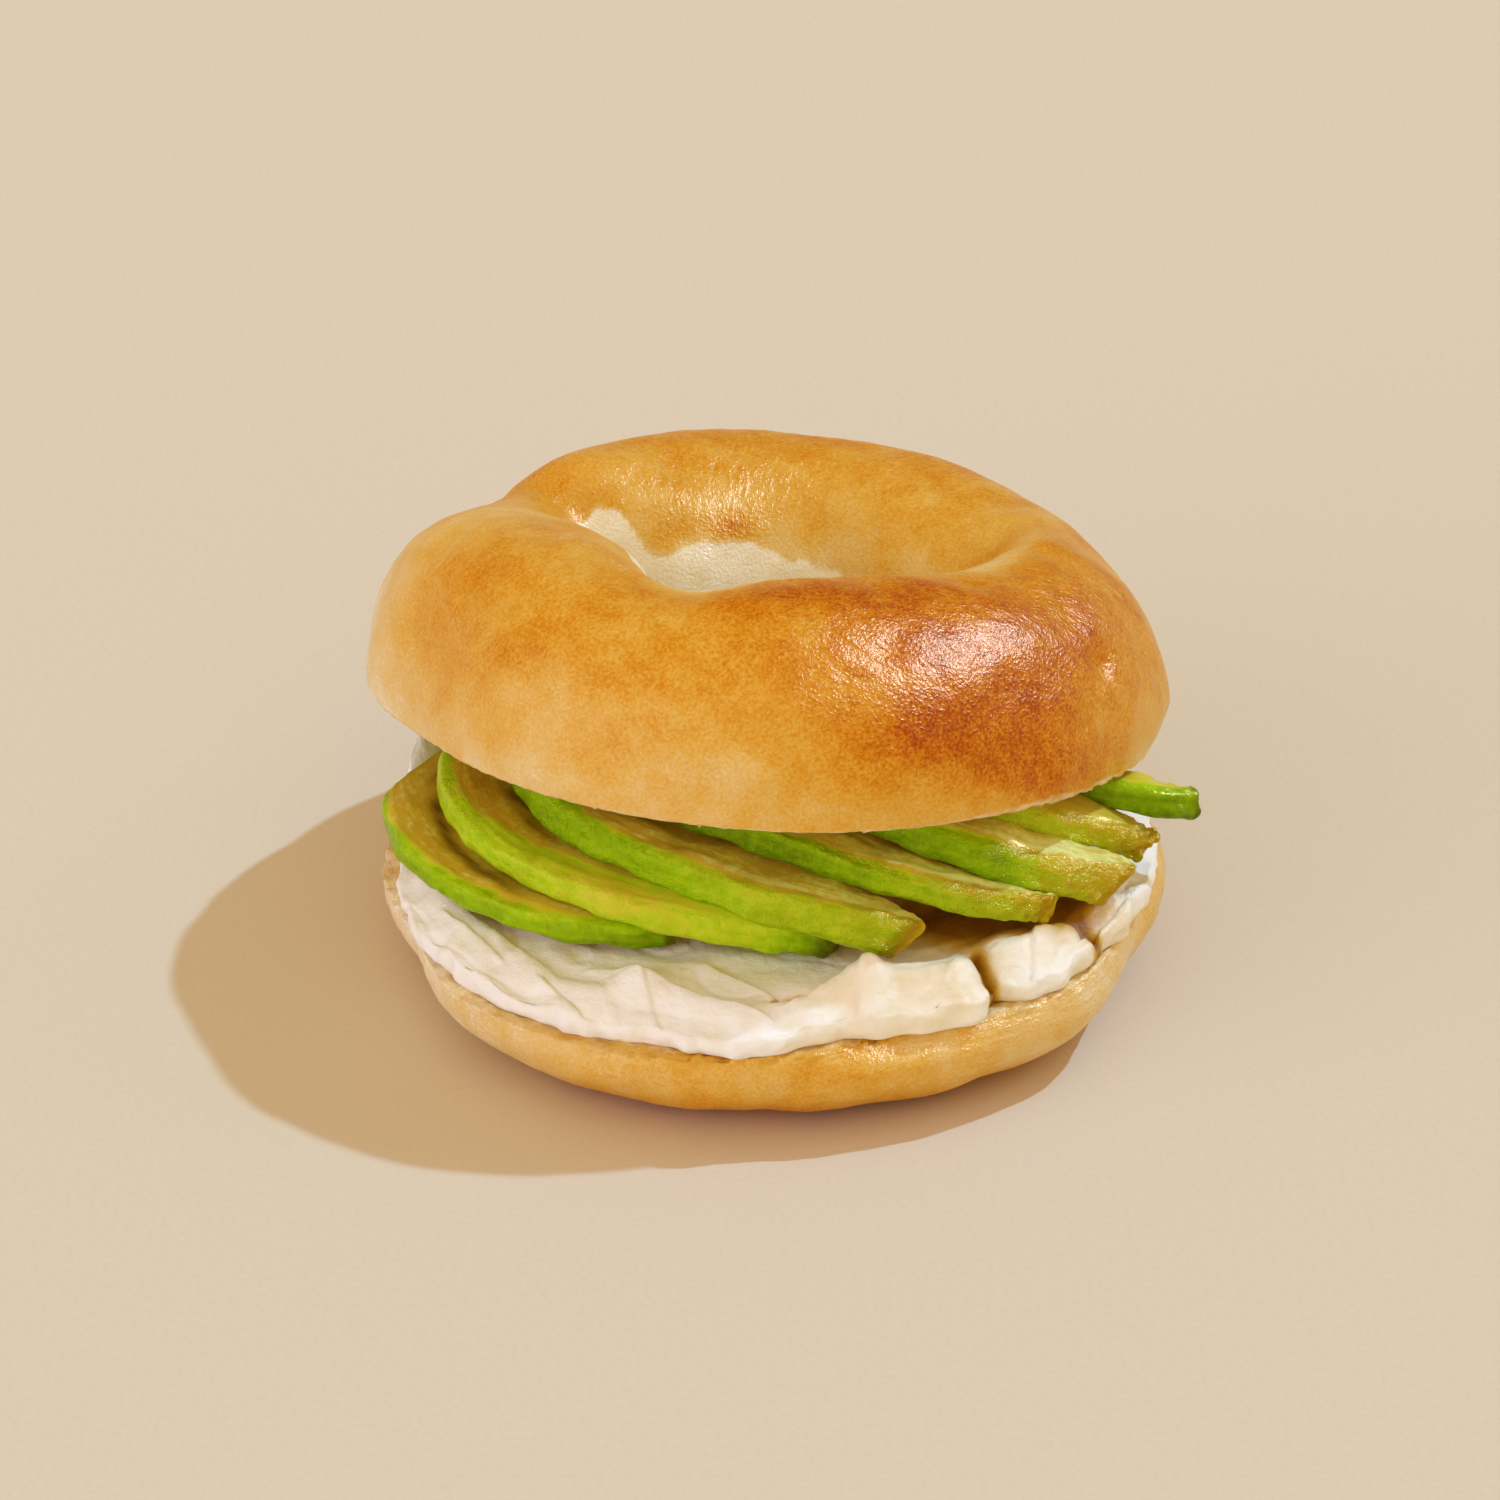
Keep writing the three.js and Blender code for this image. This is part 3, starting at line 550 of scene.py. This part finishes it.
# %% Slice measures
SLICES = [
    dict(edge=[(-52.7, -0.9, 19.3), (-52.2, -16.7, 19.3), (-32.8, -36.5, 19.2),
               (-13.5, -30.9, 18.8)],
         widths=(17, 19, 3), thick=(5.9, 4), drop=(0, 0), across=(56, 60), undercut=0),
    dict(edge=[(-38.2, 13.8, 26.3), (-55.4, -2.7, 25.6), (-40.9, -39.2, 24.8), (8.9, -35, 19.2)],
         widths=(5, 20, 5), thick=(6.4, 5), drop=(3, 1), across=(-20, 62), undercut=2),
    dict(edge=[(-26.1, 12.7, 27.5), (-54.7, -16.9, 31.5), (-9, -38, 26.5), (17, -38.4, 21.3)],
         widths=(5, 17, 2.5), thick=(6.7, 5.3), drop=(4, 2), across=(-20, 56), undercut=4),
    dict(edge=[(-25.1, -12.9, 33.5), (-16.1, -28.1, 35.5), (18.9, -36.3, 24.5), (35.1, -31.7, 23)],
         widths=(5, 15, 3.5), thick=(5.9, 3.9), drop=(5, 2), across=(50, 62), undercut=2.5),
    dict(edge=[(-12, -11.9, 33), (7, -26.6, 36), (26.8, -35.9, 28.5), (46.5, -24.3, 20.8)],
         widths=(5, 14, 2), thick=(5.9, 5.6), drop=(5, 1), across=(60, 72), undercut=5),
    dict(edge=[(-9.8, -5.6, 31), (7.6, -21.5, 35.5), (36.5, -27.3, 33), (49.7, -16.6, 22.5)],
         widths=(5, 13, 1.5), thick=(5.1, 4.1), drop=(4, 1), across=(65, 80), undercut=4.5),
    dict(edge=[(-5.8, 4.5, 26.5), (16.2, 4.3, 30), (45, -24.4, 32), (56, -13.2, 27.7)],
         widths=(5, 13, 1.5), thick=(5.3, 4.4), drop=(4, 1), across=(70, 120), undercut=1)]
SQUARENESS, SKIN_SQUARENESS, FULLNESS, END_ROUND = 7, 3.8, 0.8, 0.9
UNDERCUT_FROM, NARROWEST = 0.75, 6


def between(pair, part):
    """A value on the straight line from the first of a pair to the second."""
    return pair[0] + (pair[1] - pair[0]) * part


def edge_curve(corners, part):
    """Cubic curve: four corners weighed by (1-t)^3, 3t(1-t)^2, 3t^2(1-t) and t^3."""
    t = part[..., None]
    weights = [(1 - t) ** 3, 3 * t * (1 - t) ** 2, 3 * t * t * (1 - t), t ** 3]
    return sum(weight * np.array(corner) for weight, corner in zip(weights, corners))


def curve_length(corners):
    """Sum of the straight steps between 200 points of the curve."""
    steps = np.diff(edge_curve(corners, np.linspace(0, 1, 200)), axis=0)
    return np.linalg.norm(steps, axis=1).sum()


def slice_surface(slice_, part, scale, angle):
    """Squared section at a part of the length: v runs across from the outer edge, h runs up.
    Returns the points, the distance from the outer edge in mm, and the height in the section."""
    length = curve_length(slice_["edge"])
    within = np.clip(part, 0, 1)
    first, middle, last = slice_["widths"]
    width = between((first, last), part)
    width = width + (middle - (first + last) / 2) * np.sin(np.pi * within) ** FULLNESS
    thick, drop = between(slice_["thick"], part), between(slice_["drop"], part)
    across = np.radians(between(slice_["across"], part))
    square = np.where((np.sin(angle) > 0) & (np.cos(angle) < 0), SQUARENESS, SKIN_SQUARENESS)
    v = -squared(np.cos(angle), square) * scale * width / 2
    h = squared(np.sin(angle), square) * scale * thick / 2
    inwards = width / 2 + v + (thick / 2 + h) * drop / np.maximum(width, NARROWEST)
    up = thick / 2 + h - drop * (v / width + 0.5)
    near_end = np.maximum((part - UNDERCUT_FROM) / (1 - UNDERCUT_FROM), 0)
    shorter = slice_["undercut"] * near_end * np.clip(0.5 - h / thick, 0, 1)
    edge = edge_curve(slice_["edge"], part - shorter / length)
    inward = np.stack([np.cos(across), np.sin(across), 0 * across], -1)
    points = edge + inwards[..., None] * inward + up[..., None] * [0, 0, 1]
    return points, width / 2 + v, h / thick


print("slices:", *[f"{curve_length(slice_['edge']):.0f} mm" for slice_ in SLICES])

# %% [markdown]
# A blunt end is a few loops that shrink at the same place, then a quarter round. The flesh bruises
# and drags under the knife, most at the thin end, so relief grows there. No two slices ripened or
# browned alike, so each has its own row of numbers. Four marks go on the mesh for the finish: how
# ripe a point is, from the green skin side (0) to the butter yellow inside (1), with painted light
# and shade on the band and a painted sunlit strip on the faces; how brown it has turned, with
# painted shade on the faces under the crown; painted shade in a line below the next slice's edge;
# and how pitted it is.

# %% How each slice looks
# frayed: its thin end. faces: browning of the cut faces at FACE_PARTS of the length, mostly
# painted shade where the crown shades them. band: browning of the skin side's thin end.
# lit_upper_edge: ripeness added along the band's upper edge, painted light. green_to: how far in,
# in mm, the green reaches at GREEN_PARTS. inside: ripeness of the faces. painted_lit_strip:
# ripeness added to the faces' outer half, a painted sunlit strip. skin: ripeness of the skin side
# as (part, ripeness). PLAIN has what most slices share.
FACE_PARTS, GREEN_PARTS = [0, 0.5, 0.85, 1], [0, 0.4, 0.7, 1]
PLAIN = dict(band=0, lit_upper_edge=0.16, green_to=(0, 0, 0, 0), inside=0.88, painted_lit_strip=0)
LOOKS = [
    PLAIN | dict(frayed=0.25, pitted=0.5, faces=(0.5, 0.5, 0.4, 0.4), band=0.1,
                 skin=[(0, 0.30), (0.6, 0.36), (1, 0.30)]),
    PLAIN | dict(frayed=0.2, pitted=0.5, faces=(0.8, 0.7, 0, 0), lit_upper_edge=0.04, painted_lit_strip=0.12,
                 green_to=(0, 0.4, 4.2, 4.2),
                 skin=[(0, 0.32), (0.3, 0.5), (0.62, 0.5), (0.72, 0.58), (0.93, 0.5), (1, 0.14)]),
    PLAIN | dict(frayed=0.25, pitted=0.9, faces=(0.8, 0.45, 0, 0), band=0.25, lit_upper_edge=0.06,
                 green_to=(0, 0.6, 0.4, 0), painted_lit_strip=0.12,
                 skin=[(0, 0.28), (0.35, 0.34), (0.6, 0.38), (0.75, 0.46), (1, 0.52)]),
    PLAIN | dict(frayed=0.6, pitted=1.0, faces=(0.3, 0, 0, 0), band=0.5, painted_lit_strip=0.12,
                 skin=[(0, 0.18), (0.5, 0.26), (0.75, 0.45), (1, 0.62)]),
    PLAIN | dict(frayed=0.35, pitted=0.9, faces=(0.2, 0, 0, 0), band=0.6, painted_lit_strip=0.12,
                 skin=[(0, 0.16), (0.5, 0.30), (0.70, 0.26), (0.80, 0.54), (1, 0.70)]),
    PLAIN | dict(frayed=0.9, pitted=0.9, faces=(0.2, 0, 0, 0), band=0.6, inside=0.82,
                 skin=[(0, 0.25), (0.6, 0.52), (1, 0.70)]),
    PLAIN | dict(frayed=0.35, pitted=0.35, faces=(0.2, 0, 0, 0), inside=0.72,
                 skin=[(0, 0.2), (1, 0.24)])]
BAND_DEPTH, SHADE_REACH, TIP = 1.5, 0.8, 0.9
print("ripeness of the faces:", *[look["inside"] for look in LOOKS])


def ripeness(points, part, depth, level, length, look, seed):
    """The skin side's ripeness, blended to the inside's over 1.7 mm behind the green; at the band's
    top edge it is a little riper, painted light, and at its lower edge greener, painted shade;
    greener at the hidden tip, and riper on the faces' outer half, a painted sunlit strip. The depth
    behind the green is returned too, for the oxidised and shaded colour."""
    skin_side = np.interp(part, *zip(*look["skin"]))
    inward = depth - np.interp(part, GREEN_PARTS, look["green_to"])
    inner = smooth(inward + 0.3 * unevenness(points, 4, seed + 4), 0.5, 2.2)
    ripe = skin_side + (look["inside"] - skin_side) * inner
    # Painted light on the band's top edge and painted shade at its lower edge.
    ripe += hump(depth, 1.2) * (look["lit_upper_edge"] * smooth(level, 0, 0.5)
                                - 0.10 * smooth(-level, 0.1, 0.5))
    ripe *= 1 - 0.55 * hump(part * length, TIP)
    # The faces' outer half is painted riper and paler: a painted sunlit strip.
    return ripe + look["painted_lit_strip"] * smooth(part, 0.5, 0.75) * hump(depth - 2.5, 2.5), inward


def browning_and_face_shade(points, part, depth, inward, frayed, look, seed):
    """Random oxidised spots, the frayed end, the faces (mostly painted shade where the crown shades
    them), the cut tip and the band's thin end, added up.
    """
    brown = 0.18 * smooth(unevenness(points, 5, seed + 5), 0.4, 1.1) + 0.4 * frayed
    brown += smooth(inward, 0.4, 2.2) * np.interp(part, FACE_PARTS, look["faces"])
    brown += 0.9 * smooth(part, 0.975, 0.995)
    brown += look["band"] * smooth(part, 0.65, 0.9) * hump(depth, BAND_DEPTH)
    return np.clip(brown, 0, 1)


def shade_under_next(points, part, depth, number):
    """Painted shade on a face, in the first half of its length, below the next slice's outer edge,
    where that slice shades it: a hump of the distance to that edge in plan."""
    if number == len(SLICES):
        return 0 * part
    edge = edge_curve(SLICES[number]["edge"], np.linspace(0, 1, 120))[:, :2]
    away = np.linalg.norm(points[..., None, :2] - edge, axis=-1).min(-1)
    return hump(away, SHADE_REACH) * smooth(depth, 0.8, 2) * smooth(part, 0.7, 0.5)


# %% Slice pieces
SLICE_LOOPS, SLICE_POINTS, FRAYED_FROM = 200, 76, 0.86


def slice_rows(length):
    """Parts of the length and scales: a flat end, a quarter round, the body, and back again."""
    quarter = np.linspace(0, np.pi / 2, 7)
    end = np.concatenate([[0, 0, 0], END_ROUND / length * (1 - np.cos(quarter))])
    scale = np.concatenate([[0.2, 0.4, 0.6], 0.75 + 0.25 * np.sin(quarter)])
    body = np.linspace(end[-1], 1 - end[-1], SLICE_LOOPS)[1:-1]
    parts = np.concatenate([end, body, 1 - end[::-1]])
    return parts, np.concatenate([scale, 0 * body + 1, scale[::-1]])


def avocado(number, slice_, look):
    """One slice: its surface, its relief and its marks."""
    length = curve_length(slice_["edge"])
    part, scale = slice_rows(length)
    around = 2 * np.pi * (np.arange(SLICE_POINTS) + 0.5) / SLICE_POINTS
    part, angle = np.meshgrid(part, around, indexing="ij")
    points, depth, level = slice_surface(slice_, part, scale[:, None], angle)
    seed = 100 + 10 * number
    frayed = look["frayed"] * smooth(part, FRAYED_FROM, 1)
    pitted = look["pitted"] * hump(depth, BAND_DEPTH)
    ridges = np.stack([part * length / 8, depth, level * 5], -1)
    relief = 0.25 * unevenness(points, 7, seed) + 0.10 * unevenness(ridges, 1.6, seed + 1)
    relief += 0.12 * pitted * unevenness(points, 2.6, seed + 6)
    relief += frayed * layered(points, [(0.5, 2.4, seed + 2), (0.35, 1.2, seed + 3)])
    relief *= np.minimum(scale, 1)[:, None]
    ripe, inward = ripeness(points, part, depth, level, length, look, seed)
    # One of these marks is painted shade: a darker line below the next slice's edge.
    return skin(f"avocado_{number}", points + outward(points, False) * relief[..., None], False,
                {"ripe": ripe, "brown": browning_and_face_shade(points, part, depth, inward, frayed, look, seed),
                 "juice": shade_under_next(points, part, depth, number),
                 "pitted": pitted, "ridge": ridges * MM})


avocados = [avocado(number, slice_, look)
            for number, (slice_, look) in enumerate(zip(SLICES, LOOKS), 1)]

# %% [markdown]
# ## Finishes
# A finish is a small tree of nodes. One function turns a colour as painters write it, sRGB hex,
# into the linear numbers that light is worked out with, and one adds a node with its settings and
# links.

# %% Colour and node helpers
def colour(hex_code):
    """sRGB hex to linear: ((c + 0.055) / 1.055)^2.4, or c / 12.92 for the darkest."""
    values = [int(hex_code[i:i + 2], 16) / 255 for i in (1, 3, 5)]
    return (*[((v + 0.055) / 1.055) ** 2.4 if v > 0.04045 else v / 12.92 for v in values], 1)


def node(tree, kind, settings=None, **inputs):
    """Adds a node; kind is its type without ShaderNode. Settings are its own fields, or the
    (position, hex) stops of a colour ramp. An input is named for its socket, or _2 for the third,
    and takes a value, a socket, or a node, which stands for that node's first output."""
    made = tree.nodes.new("ShaderNode" + kind)
    for field, value in (settings or {}).items():
        if field == "stops":
            elements = made.color_ramp.elements
            while len(elements) < len(value):
                elements.new(0.5)
            for element, (position, code) in zip(elements, value):
                element.position, element.color = position, colour(code)
        else:
            setattr(made, field, value)
    for name, value in inputs.items():
        socket = made.inputs[int(name[1:]) if name[1:].isdigit() else name.replace("_", " ")]
        value = value.outputs[0] if isinstance(value, bpy.types.Node) else value
        if isinstance(value, bpy.types.NodeSocket):
            tree.links.new(value, socket)
        else:
            socket.default_value = value
    return made


def finish(name):
    """A new material, its empty tree and the place of a point on the object."""
    material = bpy.data.materials.new(name)
    material.use_nodes = True
    tree = material.node_tree
    tree.nodes.clear()
    return material, tree, node(tree, "TexCoord").outputs["Object"]


MINUS, TIMES_PLUS = {"operation": "SUBTRACT"}, {"operation": "MULTIPLY_ADD"}
print("baked gold", colour("#dd9a34"))

# %% [markdown]
# **Baked dough.** Boiling gelled the starch on the outside, so the crust is a thin glossy skin
# with a very fine blistered grain, and under it the browned crumb. The colour runs from cream over
# gold to amber with the browning mark. A picture of crust would have to be unwrapped; noise at the
# object's own measures needs no unwrapping. The real blisters are 0.1 to 0.3 mm, too fine to show,
# so the grain is drawn at 0.45 mm: it breaks the gloss into sparkles, and wrinkles show as
# streaks.

# %% Crust finish
CRUST_STOPS = [(0.0, "#fdf4e0"), (0.16, "#ebcb8c"), (0.34, "#e5b356"), (0.50, "#dd9a34"),
               (0.66, "#cf7c0a"), (0.82, "#ba5600"), (1.0, "#8c3800")]
CRUMB_STOPS = [(0.0, "#cfa468"), (0.35, "#e2c28a"), (0.8, "#eed7aa")]
GRAIN, MOTTLE, PATCH, WRINKLE, PORE = 0.45 * MM, 1.8 * MM, 6.3 * MM, 1.1 * MM, 1.6 * MM


def crust_finish():
    """Browning plus noise of four sizes picks the colour, and the noise counts more where it is
    browner. The cut mark turns glossy crust into rough open crumb."""
    material, tree, place = finish("boiled_and_baked_crust")
    baked, cut, creased = (node(tree, "Attribute", {"attribute_name": mark}).outputs["Fac"]
                           for mark in ("baked", "cut", "creased"))
    wrap = node(tree, "Attribute", {"attribute_name": "wrap"}).outputs["Vector"]
    grain, mottle, patches, wrinkle = (
        node(tree, "TexNoise", Vector=over, Scale=1 / size, Detail=detail, Roughness=fine)
        for over, size, detail, fine in ((place, GRAIN, 2.0, 0.6), (place, MOTTLE, 3.0, 0.6),
                                         (place, PATCH, 2.0, 0.5), (wrap, WRINKLE, 2.0, 0.55)))
    uneven = 0.0
    for texture, amount in ((grain, 0.60), (mottle, 0.28), (patches, 0.22), (wrinkle, 0.12)):
        centred = node(tree, "Math", MINUS, _0=texture, _1=0.5)
        uneven = node(tree, "Math", TIMES_PLUS, _0=centred, _1=amount, _2=uneven)
    strength = node(tree, "Math", TIMES_PLUS, _0=baked, _1=1.3, _2=0.2)
    shade = node(tree, "Math", TIMES_PLUS, _0=uneven, _1=strength, _2=baked)
    skin_colour = node(tree, "ValToRGB", {"stops": CRUST_STOPS}, Fac=shade)
    pores = node(tree, "TexVoronoi", {"feature": "F1"}, Vector=place, Scale=1 / PORE)
    crumb = node(tree, "ValToRGB", {"stops": CRUMB_STOPS}, Fac=pores)
    dough = node(tree, "Mix", {"data_type": "RGBA"}, _0=cut, _6=skin_colour, _7=crumb)
    rough = node(tree, "MapRange", Value=cut, To_Min=0.35, To_Max=0.95)
    normal = {}
    for height, amount, depth in ((grain, 1.0, 0.15), (mottle, 0.35, 0.2), (wrinkle, creased, 0.3),
                                  (pores, cut, 0.5)):
        normal = {"Normal": node(tree, "Bump", Height=height, Strength=amount,
                                 Distance=depth * MM, **normal)}
    surface = node(tree, "BsdfPrincipled", Base_Color=dough.outputs[2], Roughness=rough, IOR=1.5,
                   Specular_Tint=(1.0, 0.9, 0.5, 1), Subsurface_Weight=0.08,
                   Subsurface_Radius=(1.0, 0.45, 0.1), Subsurface_Scale=2 * MM, **normal)
    node(tree, "OutputMaterial", Surface=surface)
    return material


# %% [markdown]
# ** Cream cheese.** A dense white dairy paste that light sinks into, so edges glow and shadows are
# soft. Its surface is matt with a weak wide sheen, as curd breaks the gloss of its moisture. Its
# colour is painted amber and darker where shade falls: in grooves, under the slices' ends and over
# the front lobes, with some avocado smear. Light that sinks in needs a subsurface radius of a
# millimetre or two; plain white would look like plaster.

# %% Cream finish
# The amber stops at 0.7 and 1.0 show the painted shade.
CREAM_STOPS = [(0.0, "#fffdf8"), (0.35, "#f6ecd4"), (0.7, "#d2ac50"), (1.0, "#9c7010")]
CURD, SMEAR = 0.9 * MM, 5 * MM


def cream_finish():
    """Ivory, painted amber and darker where shade falls, with a fine curdled grain."""
    material, tree, place = finish("spread_cream_cheese")
    hollow = node(tree, "Attribute", {"attribute_name": "hollow"}).outputs["Fac"]
    curd = node(tree, "TexNoise", Vector=place, Scale=1 / CURD, Detail=4.0, Roughness=0.6)
    smears = node(tree, "TexNoise", Vector=place, Scale=1 / SMEAR, Detail=2.0)
    centred = node(tree, "Math", MINUS, _0=smears, _1=0.5)
    shade = node(tree, "Math", TIMES_PLUS, _0=centred, _1=0.5, _2=hollow)
    base = node(tree, "ValToRGB", {"stops": CREAM_STOPS}, Fac=shade)
    bump = node(tree, "Bump", Height=curd, Strength=0.6, Distance=0.35 * MM)
    surface = node(tree, "BsdfPrincipled", Base_Color=base, Normal=bump, Roughness=0.58, IOR=1.35,
                   Subsurface_Weight=0.35, Subsurface_Radius=(1.0, 0.95, 0.85),
                   Subsurface_Scale=1.6 * MM)
    node(tree, "OutputMaterial", Surface=surface)
    return material


# %% [markdown]
# ** Avocado flesh.** Oily and smooth, wet enough to glint. The colour goes from leaf green at the
# skin side to butter yellow inside within a few millimetres, and brown stains show where air
# reached it. Streaks run along the slice, the way the knife went, so they are read at the
# stretched measures that the mesh carries. Stains multiply the flesh's colour, as a thin wet film
# does, and so does painted shade: on the faces under the crown and in a line below each next
# slice's edge.

# %% Avocado finish
# The palest stop, at 1.0, serves the painted sunlit strip on the faces.
RIPE_STOPS = [(0.0, "#375400"), (0.22, "#769e00"), (0.42, "#9fc80c"), (0.58, "#c2da34"),
              (0.72, "#dccf4e"), (0.88, "#e3cb64"), (1.0, "#f6feac")]
# The first colour tints oxidised spots and the painted shade on the faces; the second is painted
# shade below each next slice's edge.
BROWN_AND_SHADE_COLOUR, CONTACT_SHADE_COLOUR = "#cdb818", "#86701a"
STREAK, BLOTCH = 1.0 * MM, 1.6 * MM


def avocado_finish():
    """The ripe mark, with its painted light, plus streaks picks the colour; oxidised spots and
    painted shade darken it.
    """
    material, tree, place = finish("cut_avocado_flesh")
    ripe, brown, juice, pitted = (
        node(tree, "Attribute", {"attribute_name": mark}).outputs["Fac"]
        for mark in ("ripe", "brown", "juice", "pitted"))
    ridge = node(tree, "Attribute", {"attribute_name": "ridge"}).outputs["Vector"]
    streak = node(tree, "TexNoise", Vector=ridge, Scale=1 / STREAK, Detail=3.0)
    blotch = node(tree, "TexNoise", Vector=place, Scale=1 / BLOTCH, Detail=4.0, Roughness=0.65)
    shade = ripe
    for texture, amount in ((streak, 0.26), (blotch, 0.38)):
        centred = node(tree, "Math", MINUS, _0=texture, _1=0.5)
        shade = node(tree, "Math", TIMES_PLUS, _0=centred, _1=amount, _2=shade)
    stained = node(tree, "ValToRGB", {"stops": RIPE_STOPS}, Fac=shade).outputs[0]
    for mark, stain in ((brown, BROWN_AND_SHADE_COLOUR), (juice, CONTACT_SHADE_COLOUR)):
        stained = node(tree, "Mix", {"data_type": "RGBA", "blend_type": "MULTIPLY"},
                       _0=mark, _6=stained, _7=colour(stain)).outputs[2]
    fine = node(tree, "Bump", Height=streak, Strength=0.4, Distance=0.3 * MM)
    depth = node(tree, "Math", {"operation": "ADD"}, _0=pitted, _1=0.15)
    pits = node(tree, "Bump", Height=blotch, Strength=depth, Distance=0.9 * MM, Normal=fine)
    surface = node(tree, "BsdfPrincipled", Base_Color=stained, Normal=pits, Roughness=0.28,
                   IOR=1.45, Specular_Tint=(1.0, 0.95, 0.35, 1), Subsurface_Weight=0.12,
                   Subsurface_Radius=(0.8, 1.0, 0.15), Subsurface_Scale=1.5 * MM)
    node(tree, "OutputMaterial", Surface=surface)
    return material


# %% Dress the pieces
crust, cream_white, flesh = crust_finish(), cream_finish(), avocado_finish()
dressed = [(top_crust, "top_half", crust, "crust"),
           (bottom_crust, "bottom_half", crust, "crust_pale"),
           (cream_spread, "cream_cheese", cream_white, "cream_cheese")]
dressed += [(piece, f"avocado_slice_{number}", flesh, "avocado")
            for number, piece in enumerate(avocados, 1)]
for piece, solid, material, slot in dressed:
    piece.data.materials.append(material)
    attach(piece, "root")
    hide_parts(solid)
    print(piece.name, "in", material.name, "takes the place of", solid)

# %% [markdown]
# ## The table, the light and the camera
# A matt beige sheet of card reaches far behind the food, so no edge of it shows. It is made of
# pressed fibre, which scatters light evenly, so it is rough and hardly mirrors anything.

# %% Table
FIBRE, SHEET_STOPS = 0.8 * MM, [(0.3, "#dfd2be"), (0.7, "#e2d6c3")]

table_mesh = bpy.data.meshes.new("table")
table_mesh.from_pydata([(-3, -2, 0), (3, -2, 0), (3, 6, 0), (-3, 6, 0)], [], [(0, 1, 2, 3)])
table = bpy.data.objects.new("table", table_mesh)
bpy.context.scene.collection.objects.link(table)
matt, tree, place = finish("matt_beige_card")
fibre = node(tree, "TexNoise", Vector=place, Scale=1 / FIBRE, Detail=3.0)
sheet = node(tree, "ValToRGB", {"stops": SHEET_STOPS}, Fac=fibre)
surface = node(tree, "BsdfPrincipled", Base_Color=sheet, Roughness=0.9, Specular_IOR_Level=0.1)
node(tree, "OutputMaterial", Surface=surface)
table_mesh.materials.append(matt)
print("table:", tuple(table.dimensions), "m")

# %% [markdown]
# Two suns stand at the right and a little behind. The small one, the window, gives the light and a
# crisp shadow. A lamp as wide as the soft gleam on the crust would blur that shadow, so the gleam
# has its own: the sheen lamp shows only in gloss. The rest of the light is a warm glow from all
# round, which colours the shadow, with a pale lobe from the front and a cool one from the low
# left, as a card there would throw. A lobe is tint * max(direction . axis, 0) ^ sharpness.

# %% Light
from mathutils import Vector

SUNS = [("window", (0.58, 0.22, 1.0), 1.5, 1.62, (0.44, 0.70, 1.0), "visible_glossy"),
        ("sheen", (1.15, 0.09, 1.0), 10, 10.0, (0.62, 0.64, 0.95), "visible_diffuse")]
GLOW, GLOW_STRENGTH = (0.596, 0.425, 0.206, 1), 1.03
LOBES = [((0, -0.8, 0.6), 3, (0.42, 0.40, 0.36)), ((-0.85, -0.52, 0.06), 12, (2.4, 2.6, 4.0))]

for name, direction, width, power, tint, hidden in SUNS:
    sun = bpy.data.lights.new(name, "SUN")
    sun.energy, sun.angle, sun.color = power, np.radians(width), tint
    sun_object = bpy.data.objects.new(name, sun)
    sun_object.rotation_euler = Vector(direction).to_track_quat("Z", "Y").to_euler()
    setattr(sun_object, hidden, False)
    bpy.context.scene.collection.objects.link(sun_object)
    print(f"{name}: {width} degrees wide, power {power}")

world = bpy.data.worlds.new("room")
world.use_nodes = True
tree = world.node_tree
towards = node(tree, "TexCoord").outputs["Generated"]
light = node(tree, "RGB").outputs[0]
light.default_value = GLOW
for axis, sharpness, tint in LOBES:
    facing = node(tree, "VectorMath", {"operation": "DOT_PRODUCT"}, _0=towards, _1=axis)
    ahead = node(tree, "Math", {"operation": "MAXIMUM"}, _0=facing.outputs["Value"], _1=0.0)
    narrow = node(tree, "Math", {"operation": "POWER"}, _0=ahead, _1=sharpness)
    lobe = node(tree, "VectorMath", {"operation": "SCALE"}, _0=tint, Scale=narrow)
    light = node(tree, "VectorMath", {"operation": "ADD"}, _0=light, _1=lobe)
background = tree.nodes["Background"]
tree.links.new(light.outputs[0], background.inputs["Color"])
background.inputs["Strength"].default_value = GLOW_STRENGTH
bpy.context.scene.world = world

# %% [markdown]
# Food is printed with rich, warm shade. Three curves do that to the picture, not to the materials:
# each lifts nothing and lowers the darkest part of one channel, blue the most, so shade turns
# amber.

# %% Toe curves
TOES = [[(0.05, 0.044), (0.3, 0.3)], [(0.05, 0.037), (0.2, 0.19), (0.45, 0.45)],
        [(0.03, 0.016), (0.1, 0.083), (0.22, 0.21), (0.45, 0.45)]]

view = bpy.context.scene.view_settings
view.view_transform = "Standard"
view.use_curve_mapping = True
for curve, points in zip(view.curve_mapping.curves, TOES):
    for x, y in points:
        curve.points.new(x, y)
view.curve_mapping.update()
print("toe curves:", TOES)

# %% [markdown]
# The camera looks 30 degrees down through a long lens from 0.7 m away, which keeps the ring's near
# and far side close to their true sizes.

# %% Camera
FOCAL_LENGTH, SENSOR, FAR_END = 126, 36, 20
CAMERA_AT, LOOKS_DOWN = (-0.0038, -0.61136, 0.3806), 30

lens = bpy.data.cameras.new("camera")
lens.lens, lens.sensor_width, lens.clip_end = FOCAL_LENGTH, SENSOR, FAR_END
camera = bpy.data.objects.new("camera", lens)
camera.location = CAMERA_AT
camera.rotation_euler = (np.radians(90 - LOOKS_DOWN), 0, 0)
bpy.context.scene.collection.objects.link(camera)
bpy.context.scene.camera = camera
print("camera at", CAMERA_AT, "m,", FOCAL_LENGTH, "mm lens")
